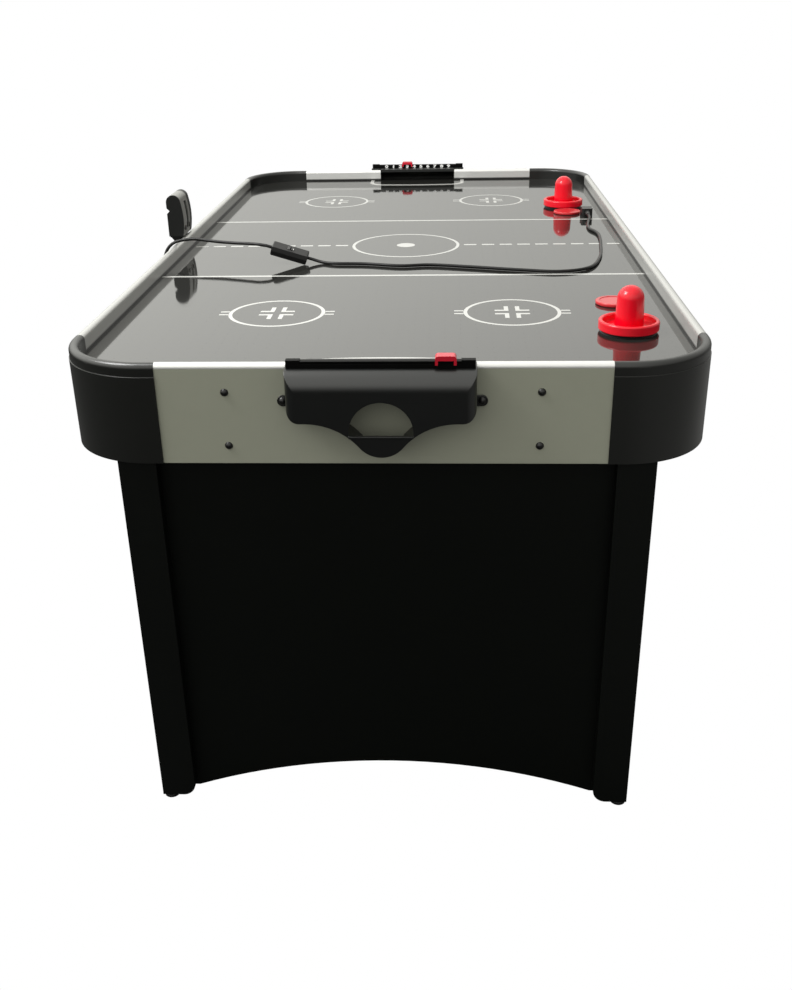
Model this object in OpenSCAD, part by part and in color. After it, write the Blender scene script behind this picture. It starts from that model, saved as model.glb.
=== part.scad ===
// Air hockey table, as an assembly of separate pieces.
// Millimetres. The origin is on the floor below the middle of the table,
// +X runs to the right, +Y to the far goal and +Z up.

/* [Table] */
// Overall length over the corner caps
table_l = 1830; // [1700:10:2000]
// Overall width over the corner caps
table_w = 980; // [940:10:1060]
// Height of the rail top above the floor
table_h = 800; // [770:1:830]
// Outer radius of the rounded corners
corner_r = 140; // [130:1:144]
// Height of the cabinet from its lower edge to the rail top
apron_h = 154; // [148:1:165]
// Depth of the playing surface below the rail top
field_drop = 28; // [25:1:31]

/* [Boards] */
// Thickness of the side and end boards
apron_t = 13; // [12:0.5:14]
// Thickness of the playing surface
field_t = 9; // [8:0.5:12]
// Height of the air chamber under the playing surface
plenum_h = 46; // [42:1:50]
// Width of the battens round the air chamber
batten_w = 20; // [18:1:30]
// Thickness of the panel that closes the air chamber
floor_t = 6; // [5:0.5:8]
// Distance of the cross battens from the middle
cross_batten_y = 300; // [220:5:400]

/* [Corner caps and rails] */
// Wall of the moulded corner caps
cap_t = 2.5; // [2:0.1:3]
// Length of a cap along the end of the table
cap_end_l = 162; // [155:1:175]
// Length of a cap along the side of the table
cap_side_l = 148; // [145:1:165]
// Step between the cap wall and its rolled bead
bead_inset = 1.3; // [0.5:0.1:1.4]
// Height of the rolled bead down to that step
bead_h = 20; // [17:0.5:24]
// Thickness of the ribs inside a cap
rib_t = 2.5; // [2:0.1:4]
// Depth of the ribs inside a cap
rib_d = 24; // [15:1:28]
// Width of the rail, from the outside of the caps to the playing surface
rail_w = 17.5; // [17:0.1:19]
// Thickness of the rail over the board
rail_cap_h = 8; // [7.5:0.1:9.5]
// Radius of the rail's outer top edge
rail_outer_r = 7; // [4:0.1:7.2]
// Radius of the rail's inner top edge
rail_inner_r = 7; // [4:0.1:7.2]

/* [Legs] */
// Distance from the side of the table to the outside of a leg
leg_inset = 87.5; // [85:0.5:110]
// Width of a leg across the end
leg_w = 58; // [52:0.5:75]
// Depth of a leg along the side
leg_d = 90; // [70:1:120]
// Thickness of the leg boards
leg_t = 20; // [18:0.5:24]
// Height of the leg bottom above the floor
leg_lift = 7; // [6.5:0.5:14]
// Radius of the leg's lower inner corner
leg_toe_r = 22; // [6:1:24]
// Thickness of the end panels
end_panel_t = 15; // [12:0.5:18]
// Height of an end panel's lower edge beside the legs
panel_foot_z = 14; // [10:1:24]
// Height of an end panel's lower edge in the middle
arch_z = 72; // [60:1:110]
// Distance from the legs to the ends of the arch
arch_margin = 4; // [2:1:20]
// Height of the cleat between an apron and an end panel
cleat_h = 46; // [40:1:52]
// Thread diameter of the leg bolts
leg_bolt_d = 8; // [6:1:8]
// Depth of the leg bolts in the end board
leg_bolt_grip = 10; // [8:0.5:10.5]
// Distance between the two bolts of a leg
leg_bolt_pitch = 34; // [28:1:38]

/* [Levelling feet] */
// Diameter of a foot
foot_d = 26; // [20:1:28]
// Thickness of a foot's pad
foot_pad_h = 5; // [3:0.5:6]
// Thread diameter of a foot's stud
stud_d = 8; // [6:0.5:9]
// Length of the stud inside the leg
stud_l = 28; // [20:1:45]

/* [Goals] */
// Width of the goal cover
goal_w = 270; // [260:1:300]
// Width of the goal mouth
mouth_w = 216; // [200:1:224]
// Depth of the goal cover
goal_d = 45; // [42:1:52]
// Radius of the hood's front edge
hood_r = 31; // [26:1:34]
// Wall of the goal cover
goal_t = 2.5; // [2:0.1:3.5]
// Height of the hood above the rail top
hood_rise = 2.5; // [1:0.5:5]
// Depth of the cover's lower edge below the rail top, at its sides
goal_side_drop = 75; // [70:1:82]
// Radius of the cover's lower corners
goal_corner_r = 20; // [14:1:24]
// Radius of the cover's front corners, seen from above
goal_plan_r = 14; // [8:1:18]
// Depth of the puck pocket below the cover's lower edge
pocket_drop = 51; // [44:1:56]
// Radius of the pocket's lower lobe
lobe_r = 40; // [34:1:42]
// Half-width at which the lower edge starts to fall to the pocket
funnel_x = 108; // [100:1:112]
// Depth of the pocket's lip below the rail top
lip_drop = 93; // [90:1:98]
// Radius of the finger arch over the pocket's lip
arch_hole_r = 46; // [40:1:47]
// How far the pocket's lip stands out
lip_out = 3; // [2:0.5:5]
// Depth of the goal slot below the playing surface
slot_drop = 22; // [18:1:24]
// Distance of the cover's screws from the middle
goal_screw_x = 143.5; // [142:0.5:160]
// Depth of the cover's screws below the rail top
goal_screw_drop = 55; // [50:1:62]
// Radius of the cover's screw ears
ear_r = 8; // [6.5:0.5:8.5]

/* [Score bars] */
// Length of a score bar
bar_l = 266; // [256:1:270]
// Height of a score bar
bar_h = 8.5; // [8:0.1:12]
// Thickness of a score bar
bar_t = 10.5; // [9:0.5:12]
// Distance of a score bar's outer face from the end board
bar_out = 25; // [22:0.5:28]
// Length of the stop at each end of the bar
bar_stop_l = 20; // [12:1:24]
// Height of the stops above the bar
bar_stop_h = 1.5; // [1:0.1:2.5]
// Distance between two scores on the bar
score_pitch = 20.3; // [16:0.1:20.5]
// Score at which the front marker stands
front_score = 0; // [0:1:9]
// Score at which the rear marker stands
rear_score = 3; // [0:1:9]
// Length of a score marker
marker_l = 30; // [24:0.5:32]
// Wall of a score marker
marker_t = 3; // [2.5:0.1:4]
// Thickness of a marker's roof
marker_roof_t = 7; // [3:0.1:7.5]
// Height of a marker above the bar
marker_rise = 8; // [6:0.5:12]
// Radius of a marker's upper corners
marker_r = 5; // [3:0.5:8]
// Running gap between a marker and its bar
marker_gap = 0.3; // [0.2:0.05:0.5]

/* [Screws] */
// Diameter of the screw heads
screw_head_d = 12; // [8:0.1:13]
// Height of the screw heads
screw_head_h = 4; // [2:0.1:5]
// Shank diameter of the screws
screw_d = 4; // [3:0.1:5]
// Length of the screws in the wood
screw_l = 26; // [20:1:28]
// Gap round a screw or a bolt in its hole
hole_gap = 0.1; // [0.05:0.01:0.3]
// Distance of the end board's screws from the middle
apron_screw_x = 228; // [200:1:260]
// Depth of the upper screws below the rail top
apron_screw_drop = 43.5; // [41:0.5:60]

/* [Blower] */
// Radius of the blower's round housing
blower_r = 88; // [84:1:110]
// Height of the blower
blower_h = 60; // [56:1:62]
// Wall of the blower
blower_t = 3; // [2.5:0.1:4]
// Length of the outlet duct from the blower's axis
duct_l = 150; // [135:1:170]
// Width of the outlet duct
duct_w = 70; // [60:1:76]
// Outer radius of the fan
fan_r = 70; // [60:1:72]
// Inner radius of the fan's blades
fan_inner_r = 52; // [46:1:54]
// Height of the fan
fan_h = 40; // [34:1:42]
// Number of blades on the fan
blade_count = 24; // [16:1:30]
// Thickness of a blade
blade_t = 1.6; // [1.2:0.1:2]
// Radius of the blower's air intake
intake_r = 46; // [40:1:48]
// Diameter of the motor
motor_d = 64; // [56:1:70]
// Height of the motor
motor_h = 38; // [30:1:40]
// Diameter of the motor's shaft
shaft_d = 6; // [5:0.5:8]
// Running gap round a turning pin
pin_gap = 0.05; // [0.02:0.01:0.09]

/* [Scorer] */
// Length of the scorer along the rail
scorer_l = 80; // [74:1:110]
// Height of the scorer
scorer_h = 87; // [84:1:100]
// Depth of the scorer at its foremost point
scorer_d = 34.5; // [32:0.5:36]
// How far the scorer's front stands over the rail
scorer_over = 10.5; // [8:0.5:12]
// Radius of the scorer's bowed front
scorer_bow_r = 170; // [140:1:220]
// Height of the bow's foremost point above the scorer's foot
scorer_bow_h = 36; // [32:1:42]
// Thickness of the scorer's front frame
bezel_t = 5; // [4:0.5:6]
// Length of the shell's plain end, behind the frame
scorer_end_l = 18; // [12:1:24]
// Length of the display window
window_l = 18; // [14:1:22]
// Height of the display window
window_h = 58; // [48:1:60]
// Diameter of the scorer's buttons
button_d = 10; // [8:0.5:12]
// Travel of the scorer's buttons
button_travel = 1.5; // [1:0.1:2]
// Thickness of the scorer's bracket
bracket_t = 6; // [4:0.5:7]
// Length of the bracket along the side
bracket_l = 60; // [40:1:76]
// Length of the bracket below the scorer
bracket_h = 86; // [76:1:100]

/* [Loose pieces] */
// Diameter of a pusher
pusher_d = 97.6; // [90:0.1:105]
// Height of a pusher
pusher_h = 75; // [66:1:82]
// Height of a pusher's rim
pusher_rim_h = 20; // [16:0.5:24]
// Diameter of a pusher's handle at its foot
handle_d = 47; // [40:0.5:52]
// Thickness of a pusher's felt
felt_t = 4; // [2:0.5:5]
// Diameter of a puck
puck_d = 65; // [60:0.5:68]
// Thickness of a puck
puck_t = 6; // [5:0.5:8]
// Gap between the playing surface and what slides on it
glide_gap = 0.3; // [0.2:0.05:0.5]
// Distance of the loose pieces from the rail
loose_in = 89.5; // [85:0.5:100]

/* [Lead] */
// Diameter of the mains lead
cord_d = 6.5; // [5:0.1:7]
// Length of the lead's switch
switch_l = 75; // [66:1:80]
// Width of the lead's switch
switch_w = 30; // [24:1:32]
// Height of the lead's switch
switch_h = 18; // [16:1:21]
// Length of the plug's body
plug_l = 34; // [28:1:36]
// Width of the plug's body
plug_w = 26; // [22:1:28]
// Height of the plug's body
plug_h = 20; // [16:1:22]

/* [Hidden] */
$fn = 64;

// Overcut past a face that is cut through
over = 1;

// Heights
field_z = table_h - field_drop;
batten_z1 = field_z - field_t;
batten_z0 = batten_z1 - plenum_h;
batten_gap = 0.3;
floor_z0 = batten_z0 - floor_t;
apron_z0 = table_h - apron_h;
apron_z1 = table_h - rail_cap_h;
slot_z = field_z - slot_drop;

// Half sizes in plan, from the outside in
half_w = table_w / 2;
half_l = table_l / 2;
apron_x1 = half_w - cap_t;
apron_y1 = half_l - cap_t;
apron_x0 = apron_x1 - apron_t;
apron_y0 = apron_y1 - apron_t;
field_x = half_w - rail_w;
field_y = half_l - rail_w;
cap_x = half_w - cap_end_l;
cap_y = half_l - cap_side_l;
arc_x = half_w - corner_r;
arc_y = half_l - corner_r;

// Legs and end panels
leg_x1 = half_w - leg_inset;
leg_x0 = leg_x1 - leg_w;
leg_y1 = apron_y0;
panel_y1 = leg_y1 - leg_t;
panel_y0 = panel_y1 - end_panel_t;
panel_x = leg_x1 - leg_t;
cleat_z0 = apron_z0 + 5;
bolt_x = leg_x0 + leg_bolt_d * 2.5;
bolt_z0 = floor_z0 - leg_bolt_pitch - 14;
bolt_head_h = 5.3;
bolt_head_r = leg_bolt_d * 0.9;
foot_in = foot_d / 2;
foot_neck_gap = 0.3;
apron_end_x = arc_x + 50;
apron_end_y = arc_y + 50;

// Goals, in distances out of the end board's face
hood_z1 = table_h + hood_rise;
goal_z0 = table_h - goal_side_drop;
lobe_z = lobe_r - pocket_drop;
lip_z = table_h - lip_drop;
goal_screw_z = table_h - goal_screw_drop;
lip_h = 3.5;
ear_t = 4;
mouth_x = mouth_w / 2;
roof_gap = 0.3;
roof_lip_h = 8;

// Score bars, on top of the goal covers, their feet sunk to the hood's rounding
bar_y1 = apron_y1 + bar_out;
bar_y0 = bar_y1 - bar_t;
bar_z0 = hood_z1;
bar_z1 = bar_z0 + bar_h;
bar_lap = max(0, bar_out - goal_d + hood_r);
bar_sink = hood_r - sqrt(pow(hood_r, 2) - pow(bar_lap, 2));
bar_groove_h = 2.2;
bar_groove_d = 1.5;
bar_groove_z = bar_z0 + 5.3;
marker_over = marker_gap + marker_t;
marker_z0 = bar_z0 + 3.2;
marker_z1 = bar_z1 + marker_rise;
marker_foot_t = 4;

// Screws in the end boards, the goal covers and the scorer's bracket
apron_screw_z = [table_h - apron_screw_drop, cleat_z0 + cleat_h / 2];
bracket_screw_y = bracket_l / 2 - 12;
bracket_screw_z = table_h - 64;

// Blower, below the air chamber's floor at the middle of the table
blower_z0 = floor_z0 - blower_h;
cover_t = 3;
fan_z1 = floor_z0 - blower_t - 5;
fan_disc_t = 3;
fan_ring_h = 4;
hub_r = 11;
motor_r = motor_d / 2;
motor_hole_gap = 4;
motor_z0 = floor_z0;
outlet_margin = 8;
outlet_l = 46;
intake_pitch = 11;
blower_ear_r = 8;
blower_ears = [60, 150, 240];
blower_ear_pos = blower_r + screw_head_d / 2 + 0.3;

// Scorer, on the left side of the table
scorer_x1 = -(apron_x1 - scorer_over);
scorer_x0 = scorer_x1 - scorer_d;
scorer_z0 = table_h + 3;
scorer_top_r = (scorer_d - 4) / 2;
scorer_top_z = scorer_z0 + scorer_h - scorer_top_r;
scorer_notch = 6;
scorer_notch_z = scorer_z0 + 54;
scorer_cap_t = 4;
bow_x = scorer_x1 - scorer_bow_r;
bow_z = scorer_z0 + scorer_bow_h;
frame_back = 8;
frame_y0 = -scorer_l / 2 + 3;
frame_y1 = scorer_l / 2 - scorer_end_l;
window_y = (frame_y0 + frame_y1 - window_l) / 2 + 7;
window_z0 = scorer_z0 + 12;
window_gap = 0.2;
window_t = bezel_t - 2;
button_z = scorer_z0 + 16;
button_x = bow_x + sqrt(pow(scorer_bow_r, 2) - pow(button_z - bow_z, 2));
button_front_y = (frame_y0 + window_y) / 2;
button_rear_y = (frame_y1 + window_y + window_l) / 2;
button_gap = 0.3;
button_out = 2;
button_in = 8;
shelf_t = scorer_z0 - table_h + 1;

// Loose pieces on the playing surface
loose_x = field_x - loose_in;
pusher_near_at = [loose_x + 2, -(field_y - 233.5)];
pusher_far_at = [loose_x, 445];
puck_near_at = [loose_x + 2, -493];
puck_far_at = [loose_x + 2, 357];
glide_z = field_z + glide_gap;

// Switch on the lead: it leans back and to the front on the corner that rests on the playing surface
switch_at = [-198, -167];
switch_tilt = 17;
switch_roll = 16;
switch_edge = 3;
switch_lie = cos(switch_tilt) * cos(switch_roll);
switch_round = switch_lie + sin(switch_tilt) - norm([switch_lie, sin(switch_tilt)]);
switch_seat = glide_gap + switch_w / 2 * sin(switch_roll) * cos(switch_tilt) - switch_edge * switch_round;
switch_axis = [cos(switch_tilt), 0, -sin(switch_tilt)];
switch_up = cos(switch_roll) * [sin(switch_tilt), 0, cos(switch_tilt)] - sin(switch_roll) * [0, 1, 0];
switch_end = [switch_at[0], switch_at[1], field_z + switch_seat] + switch_h / 2 * switch_up;
rocker_r = 9;
rocker_w = 12;
rocker_gap = 0.35;
rocker_top = 6.5;
rocker_lean = 10;
rocker_pin_r = 1.5;
rocker_pin_l = 1.5;
rocker_z = switch_h - 5;

// Plug on the lead, its blades toward the far goal
plug_at = [428, 300];
plug_mid_z = field_z + plug_h / 2;
plug_edge = 6;
waist_r = 24;
waist_d = 2;
blade_pitch = 12.7;
blade_w = 6.3;
blade_th = 1.5;
blade_l = 17;
blade_root = 6;
relief_l = 24;
relief_r = 6.5;
relief_wall = 1;

// Gland of the lead under the air chamber's floor
gland_at = [-half_w + 70, -100];
gland_r = 11;
gland_h = 22;
gland_collar_h = 4;
gland_wall = 1.2;

// Route of the lead from its gland, round the cabinet's lower edge and over the rail, to the switch
lead_run = 12;
lead_a = [
    [gland_at[0], gland_at[1], floor_z0 - 4],
    [gland_at[0], gland_at[1], floor_z0 - gland_h - 12],
    [gland_at[0] - 8, -100, apron_z0 + 2],
    [gland_at[0] - 26, -101, apron_z0 - 20],
    [-half_w + 16, -103, apron_z0 - 28],
    [-half_w - 6, -106, apron_z0 - 16],
    [-half_w - 14, -109, apron_z0 + 12],
    [-half_w - 16, -112, apron_z0 + 50],
    [-half_w - 17, -115, apron_z0 + 90],
    [-half_w - 16, -117, table_h - 30],
    [-half_w - 10, -115, table_h - 8],
    [-half_w + 3, -112, table_h + 5],
    [-half_w + 22, -111, table_h + 7],
    [-half_w + 50, -116, field_z + 41],
    [-410, -127, field_z + 40],
    [-380, -138, field_z + 39],
    [-350, -149, field_z + 39],
    [-322, -158, field_z + 39.5],
    [-299, -166, field_z + 39.5],
    switch_end - (switch_l + lead_run) * switch_axis
];
// Route of the lead on the playing surface, from the switch to the plug
lead_z = field_z + glide_gap + cord_d / 2;
lead_b = [
    switch_end + lead_run * switch_axis,
    [-163, -175, lead_z],
    [-136, -186, lead_z],
    [-76, -191, lead_z],
    [-4, -210, lead_z],
    [57, -204, lead_z],
    [136, -223, lead_z],
    [234, -252, lead_z],
    [311, -267, lead_z],
    [372, -235, lead_z],
    [404, -143, lead_z],
    [420, -28, lead_z],
    [428, 57, lead_z],
    [427, 104, lead_z],
    [417, 142, lead_z],
    [416, 179, lead_z],
    [421, 218, lead_z + 1],
    [427, 246, lead_z + 4],
    [plug_at[0], plug_at[1] - relief_l - lead_run, plug_mid_z]
];

// Quarter of a disc in the given direction
module quarter_disc(r, sx, sy) {
    intersection() {
        circle(r);
        translate([sx > 0 ? 0 : -r, sy > 0 ? 0 : -r])
            square(r);
    }
}

// Outline of the table inset by d, with its rounded corners
module table_outline(d) {
    r = corner_r - d;
    square([2 * (half_w - d), 2 * arc_y], center = true);
    square([2 * arc_x, 2 * (half_l - d)], center = true);
    for (sx = [-1, 1])
        for (sy = [-1, 1])
            translate([sx * arc_x, sy * arc_y])
                circle(r);
}

// Turns a piece modelled at the front end over to the rear end
module at_rear() {
    rotate([0, 0, 180])
        children();
}

// Lays an X and Z outline out along Y, from y0 to y1
module along_y(y0, y1) {
    translate([0, y1, 0])
        rotate([90, 0, 0])
            linear_extrude(y1 - y0)
                children();
}

// Lays a Y and Z outline out along X, from x0 to x1
module along_x(x0, x1) {
    translate([x0, 0, 0])
        rotate([90, 0, 90])
            linear_extrude(x1 - x0)
                children();
}

// Screw with a pan head, its shank along +Z below the head's seat at the origin
module pan_screw(l) {
    dome_r = (pow(screw_head_d / 2, 2) + pow(screw_head_h, 2)) / (2 * screw_head_h);
    rotate_extrude()
        intersection() {
            translate([0, dome_r - screw_head_h])
                circle(dome_r);
            translate([0, -screw_head_h])
                square([screw_head_d / 2, screw_head_h]);
        }
    cylinder(d = screw_d, h = l);
}

// Places along the end board's face, at the front end, with +Z into the wood
module at_end_face(x, z, out = 0) {
    translate([x, -apron_y1 - out, z])
        rotate([-90, 0, 0])
            children();
}

// Places of the screws in an end board
module each_apron_screw() {
    for (x = [-apron_screw_x, apron_screw_x])
        for (z = apron_screw_z)
            at_end_face(x, z)
                children();
}

module each_goal_screw(out) {
    for (x = [-goal_screw_x, goal_screw_x])
        at_end_face(x, goal_screw_z, out)
            children();
}

// Places of the bracket's screws, with +Z into the side board
module each_bracket_screw(out) {
    for (y = [-bracket_screw_y, bracket_screw_y])
        translate([-apron_x1 - out, y, bracket_screw_z])
            rotate([0, 90, 0])
                children();
}

// Places of the leg bolts at the front end, from the panel's back, with +Z out of the table
module each_leg_bolt() {
    for (x = [-bolt_x, bolt_x])
        for (z = [bolt_z0, bolt_z0 + leg_bolt_pitch])
            translate([x, -panel_y0, z])
                rotate([90, 0, 0])
                    children();
}
bolt_l = end_panel_t + leg_t + leg_bolt_grip;

module screw_hole(l) {
    cylinder(r = screw_d / 2 + hole_gap, h = l + hole_gap);
}

module bolt_hole() {
    translate([0, 0, -over])
        cylinder(r = leg_bolt_d / 2 + hole_gap, h = bolt_l + hole_gap + over);
}

module playfield() {
    color("dimgray")
        translate([0, 0, batten_z1])
            linear_extrude(field_t)
                table_outline(cap_t + apron_t);
}

// Panel that closes the air chamber, with holes for the motor and the blower's outlet
module air_chamber_floor() {
    color("saddlebrown")
        difference() {
            translate([0, 0, batten_z0 - floor_t])
                linear_extrude(floor_t)
                    difference() {
                        table_outline(cap_t + apron_t);
                        circle(motor_r + motor_hole_gap);
                        blower_outlet();
                    }
            translate([0, 0, batten_z0 - floor_t])
                each_blower_screw()
                    screw_hole(floor_t + over);
            translate([gland_at[0], gland_at[1], batten_z0 - floor_t - over])
                cylinder(r = cord_d / 2 + over, h = floor_t + 2 * over);
        }
}

// Frame of the air chamber: two long battens, two at the ends and two across
module battens() {
    side_x = apron_x0 - batten_w;
    color("burlywood")
        difference() {
            translate([0, 0, batten_z0])
                linear_extrude(plenum_h) {
                    for (s = [-1, 1])
                        translate([s * (side_x + batten_w / 2), 0])
                            square([batten_w, 2 * arc_y], center = true);
                    for (s = [-1, 1])
                        translate([0, s * (apron_y0 - batten_w / 2)])
                            square([2 * arc_x, batten_w], center = true);
                    for (s = [-1, 1])
                        translate([0, s * cross_batten_y])
                            square([2 * (side_x - batten_gap), batten_w], center = true);
                }
            each_apron_screw()
                screw_hole(screw_l);
            at_rear()
                each_apron_screw()
                    screw_hole(screw_l);
        }
}

// Board along a side of the table, its ends rounded to lie inside the corner caps
module side_apron(s) {
    color("silver")
        difference() {
            translate([0, 0, apron_z0])
                linear_extrude(apron_z1 - apron_z0)
                    intersection() {
                        table_outline(cap_t);
                        translate([s * (apron_x0 + apron_t), 0])
                            square([2 * apron_t, 2 * apron_end_y], center = true);
                    }
            if (s < 0)
                each_bracket_screw(bracket_t)
                    screw_hole(bracket_t + apron_t - 3);
        }
}

module side_apron_left() {
    side_apron(-1);
}

module side_apron_right() {
    side_apron(1);
}

// Board across the front end, with the goal slot open to its top
module end_apron_front() {
    color("silver")
        difference() {
            translate([0, 0, apron_z0])
                linear_extrude(apron_z1 - apron_z0)
                    intersection() {
                        table_outline(cap_t);
                        translate([0, -apron_y0 - apron_t])
                            square([2 * apron_end_x, 2 * apron_t], center = true);
                    }
            translate([-mouth_x, -apron_y1 - over, slot_z])
                cube([mouth_w, apron_t + 2 * over, table_h]);
            each_apron_screw()
                screw_hole(screw_l);
            each_goal_screw(ear_t)
                screw_hole(ear_t + apron_t - 3);
            each_leg_bolt()
                bolt_hole();
        }
}

module end_apron_rear() {
    at_rear()
        end_apron_front();
}

// Section of a corner cap: u is the distance in from the outside, v the height
module cap_section() {
    bead_r = (rail_w - bead_inset) / 2;
    bead_z = table_h - bead_r;
    translate([0, apron_z0])
        square([cap_t, table_h - bead_h - apron_z0]);
    difference() {
        union() {
            translate([bead_inset + bead_r, bead_z])
                circle(bead_r);
            translate([bead_inset, table_h - bead_h])
                square([cap_t, bead_z - table_h + bead_h]);
            translate([rail_w / 2, field_z])
                square([rail_w / 2, bead_z - field_z]);
        }
        translate([cap_t, apron_z0])
            square([apron_t, apron_z1 - apron_z0]);
    }
}

// Moulded cap round the front right corner: two straight runs, the turn and its ribs
module corner_cap() {
    translate([arc_x, -arc_y, 0])
        rotate([0, 0, -90])
            rotate_extrude(angle = 90)
                translate([corner_r, 0])
                    mirror([1, 0])
                        cap_section();
    along_x(cap_x, arc_x)
        translate([-half_l, 0])
            cap_section();
    along_y(-arc_y, -cap_y)
        translate([half_w, 0])
            mirror([1, 0])
                cap_section();
    translate([arc_x, -arc_y, 0])
        for (a = [-57, -45, -33])
            rotate([0, 0, a])
                translate([corner_r - cap_t - rib_d, -rib_t / 2, apron_z0 + 6])
                    cube([rib_d + cap_t / 2, rib_t, floor_z0 - apron_z0 - 8]);
}

module corner_cap_front_right() {
    color([0.09, 0.09, 0.09])
        corner_cap();
}

module corner_cap_front_left() {
    color([0.09, 0.09, 0.09])
        mirror([1, 0, 0])
            corner_cap();
}

module corner_cap_rear_right() {
    color([0.09, 0.09, 0.09])
        mirror([0, 1, 0])
            corner_cap();
}

module corner_cap_rear_left() {
    color([0.09, 0.09, 0.09])
        at_rear()
            corner_cap();
}

// Section of a rail: it lies over the board's top and down its inner face
module rail_section() {
    w = rail_w - cap_t;
    translate([0, apron_z1])
        square([w, rail_cap_h - rail_outer_r]);
    translate([rail_outer_r, apron_z1])
        square([w - rail_outer_r - rail_inner_r, rail_cap_h]);
    translate([w - rail_inner_r, apron_z1])
        square([rail_inner_r, rail_cap_h - rail_inner_r]);
    translate([rail_outer_r, table_h - rail_outer_r])
        quarter_disc(rail_outer_r, -1, 1);
    translate([w - rail_inner_r, table_h - rail_inner_r])
        quarter_disc(rail_inner_r, 1, 1);
    translate([apron_t, field_z])
        square([w - apron_t, apron_z1 - field_z]);
}

module side_rail_right() {
    color("lightgray")
        along_y(-cap_y, cap_y)
            translate([apron_x1, 0])
                mirror([1, 0])
                    rail_section();
}

module side_rail_left() {
    color("lightgray")
        along_y(-cap_y, cap_y)
            translate([-apron_x1, 0])
                rail_section();
}

// Rails of both ends, each from a corner cap to the goal mouth
module end_rails() {
    color("lightgray")
        for (turn = [0, 180])
            rotate([0, 0, turn])
                for (x0 = [-cap_x, mouth_x])
                    along_x(x0, x0 + cap_x - mouth_x)
                        translate([-apron_y1, 0])
                            rail_section();
}

// Front outline of the goal cover inset by d: a wide box that funnels to a lobed pocket
module goal_outline(d) {
    gx = goal_w / 2 - d;
    r = goal_corner_r - d;
    // Radius of the fillet that meets the lower edge and the lobe smoothly
    fillet_r = (pow(funnel_x, 2) + pow(lobe_z, 2) - pow(lobe_r, 2)) / (2 * (lobe_r - lobe_z));
    reach = fillet_r + lobe_r;
    touch_x = funnel_x * (1 - (fillet_r + d) / reach);
    touch_z = -fillet_r + (lobe_z + fillet_r) * (fillet_r + d) / reach;
    translate([0, goal_z0]) {
        translate([-gx, d + r])
            square([2 * gx, hood_z1 - goal_z0]);
        translate([-gx + r, d])
            square([2 * (gx - r), 2 * r]);
        for (s = [-1, 1])
            translate([s * (gx - r), d + r])
                circle(r);
        difference() {
            polygon([[-funnel_x, d + over], [-funnel_x, d], [-touch_x, touch_z],
                     [touch_x, touch_z], [funnel_x, d], [funnel_x, d + over]]);
            for (s = [-1, 1])
                translate([s * funnel_x, -fillet_r])
                    circle(fillet_r + d, $fn = 180);
        }
        translate([0, lobe_z])
            circle(lobe_r - d);
    }
}

// Side outline of the goal cover inset by d: a flat top that rounds over to an upright front
module goal_side(d, back) {
    foot = goal_z0 - pocket_drop - over;
    edge_y = hood_r - goal_d;
    edge_z = hood_z1 - hood_r;
    translate([-goal_d + d, foot])
        square([goal_d - d + back, edge_z - foot]);
    translate([edge_y, foot])
        square([back - edge_y, hood_z1 - d - foot]);
    translate([edge_y, edge_z])
        circle(hood_r - d);
}

// Plan outline of the goal cover inset by d, its front corners rounded
module goal_plan(d, back) {
    gx = goal_w / 2 - d;
    r = goal_plan_r - d;
    y0 = -goal_d + d;
    translate([-gx, y0 + r])
        square([2 * gx, -y0 - r + back]);
    translate([-gx + r, y0])
        square([2 * (gx - r), 2 * r]);
    for (s = [-1, 1])
        translate([s * (gx - r), y0 + r])
            circle(r);
}

// Body of the goal cover inset by d, in front of the end board's face
module goal_body(d, back) {
    translate([0, -apron_y1, 0])
        intersection() {
            along_y(-goal_d, back)
                goal_outline(d);
            along_x(-goal_w / 2, goal_w / 2)
                goal_side(d, back);
            linear_extrude(table_h + goal_d)
                goal_plan(d, back);
        }
}

// Roof over the goal mouth, from the hood back to the playing surface, with a lip at its edge
module mouth_roof() {
    half = mouth_x - roof_gap;
    translate([-half, -apron_y1 - over, hood_z1 - goal_t])
        cube([2 * half, apron_y1 - field_y + over, goal_t]);
    translate([-half, -field_y - goal_t, hood_z1 - roof_lip_h])
        cube([2 * half, goal_t, roof_lip_h]);
}

// Goal cover: a moulded shell with a finger arch, a pocket lip, a roof and two screw ears
module goal_cover_front() {
    color([0.06, 0.06, 0.06])
        difference() {
            union() {
                difference() {
                    goal_body(0, 0);
                    goal_body(goal_t, over);
                }
                translate([-arch_hole_r, -apron_y1 - goal_d - lip_out, lip_z - lip_h])
                    cube([2 * arch_hole_r, goal_t + lip_out, lip_h]);
                mouth_roof();
                for (s = [-1, 1])
                    along_y(-apron_y1 - ear_t, -apron_y1) {
                        translate([s * goal_screw_x, goal_screw_z])
                            circle(ear_r);
                        translate([s * (goal_w / 2 - goal_t / 2 + (goal_screw_x - goal_w / 2) / 2), goal_screw_z])
                            square([goal_screw_x - goal_w / 2 + goal_t, 2 * ear_r], center = true);
                    }
            }
            along_y(-apron_y1 - goal_d - over, -apron_y1 - goal_d + goal_t + over)
                intersection() {
                    translate([0, lip_z + 4])
                        circle(arch_hole_r);
                    translate([-arch_hole_r, lip_z])
                        square([2 * arch_hole_r, goal_d * 2]);
                }
            each_goal_screw(ear_t)
                translate([0, 0, -over])
                    screw_hole(ear_t + 2 * over);
        }
}

module goal_cover_rear() {
    at_rear()
        goal_cover_front();
}

// Section of the score bar with its foot shaped to the hood
module bar_block(h) {
    difference() {
        translate([-bar_y1, bar_z0 - bar_sink])
            square([bar_t, h + bar_sink]);
        translate([-apron_y1, 0])
            goal_side(0, 0);
    }
}

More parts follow.
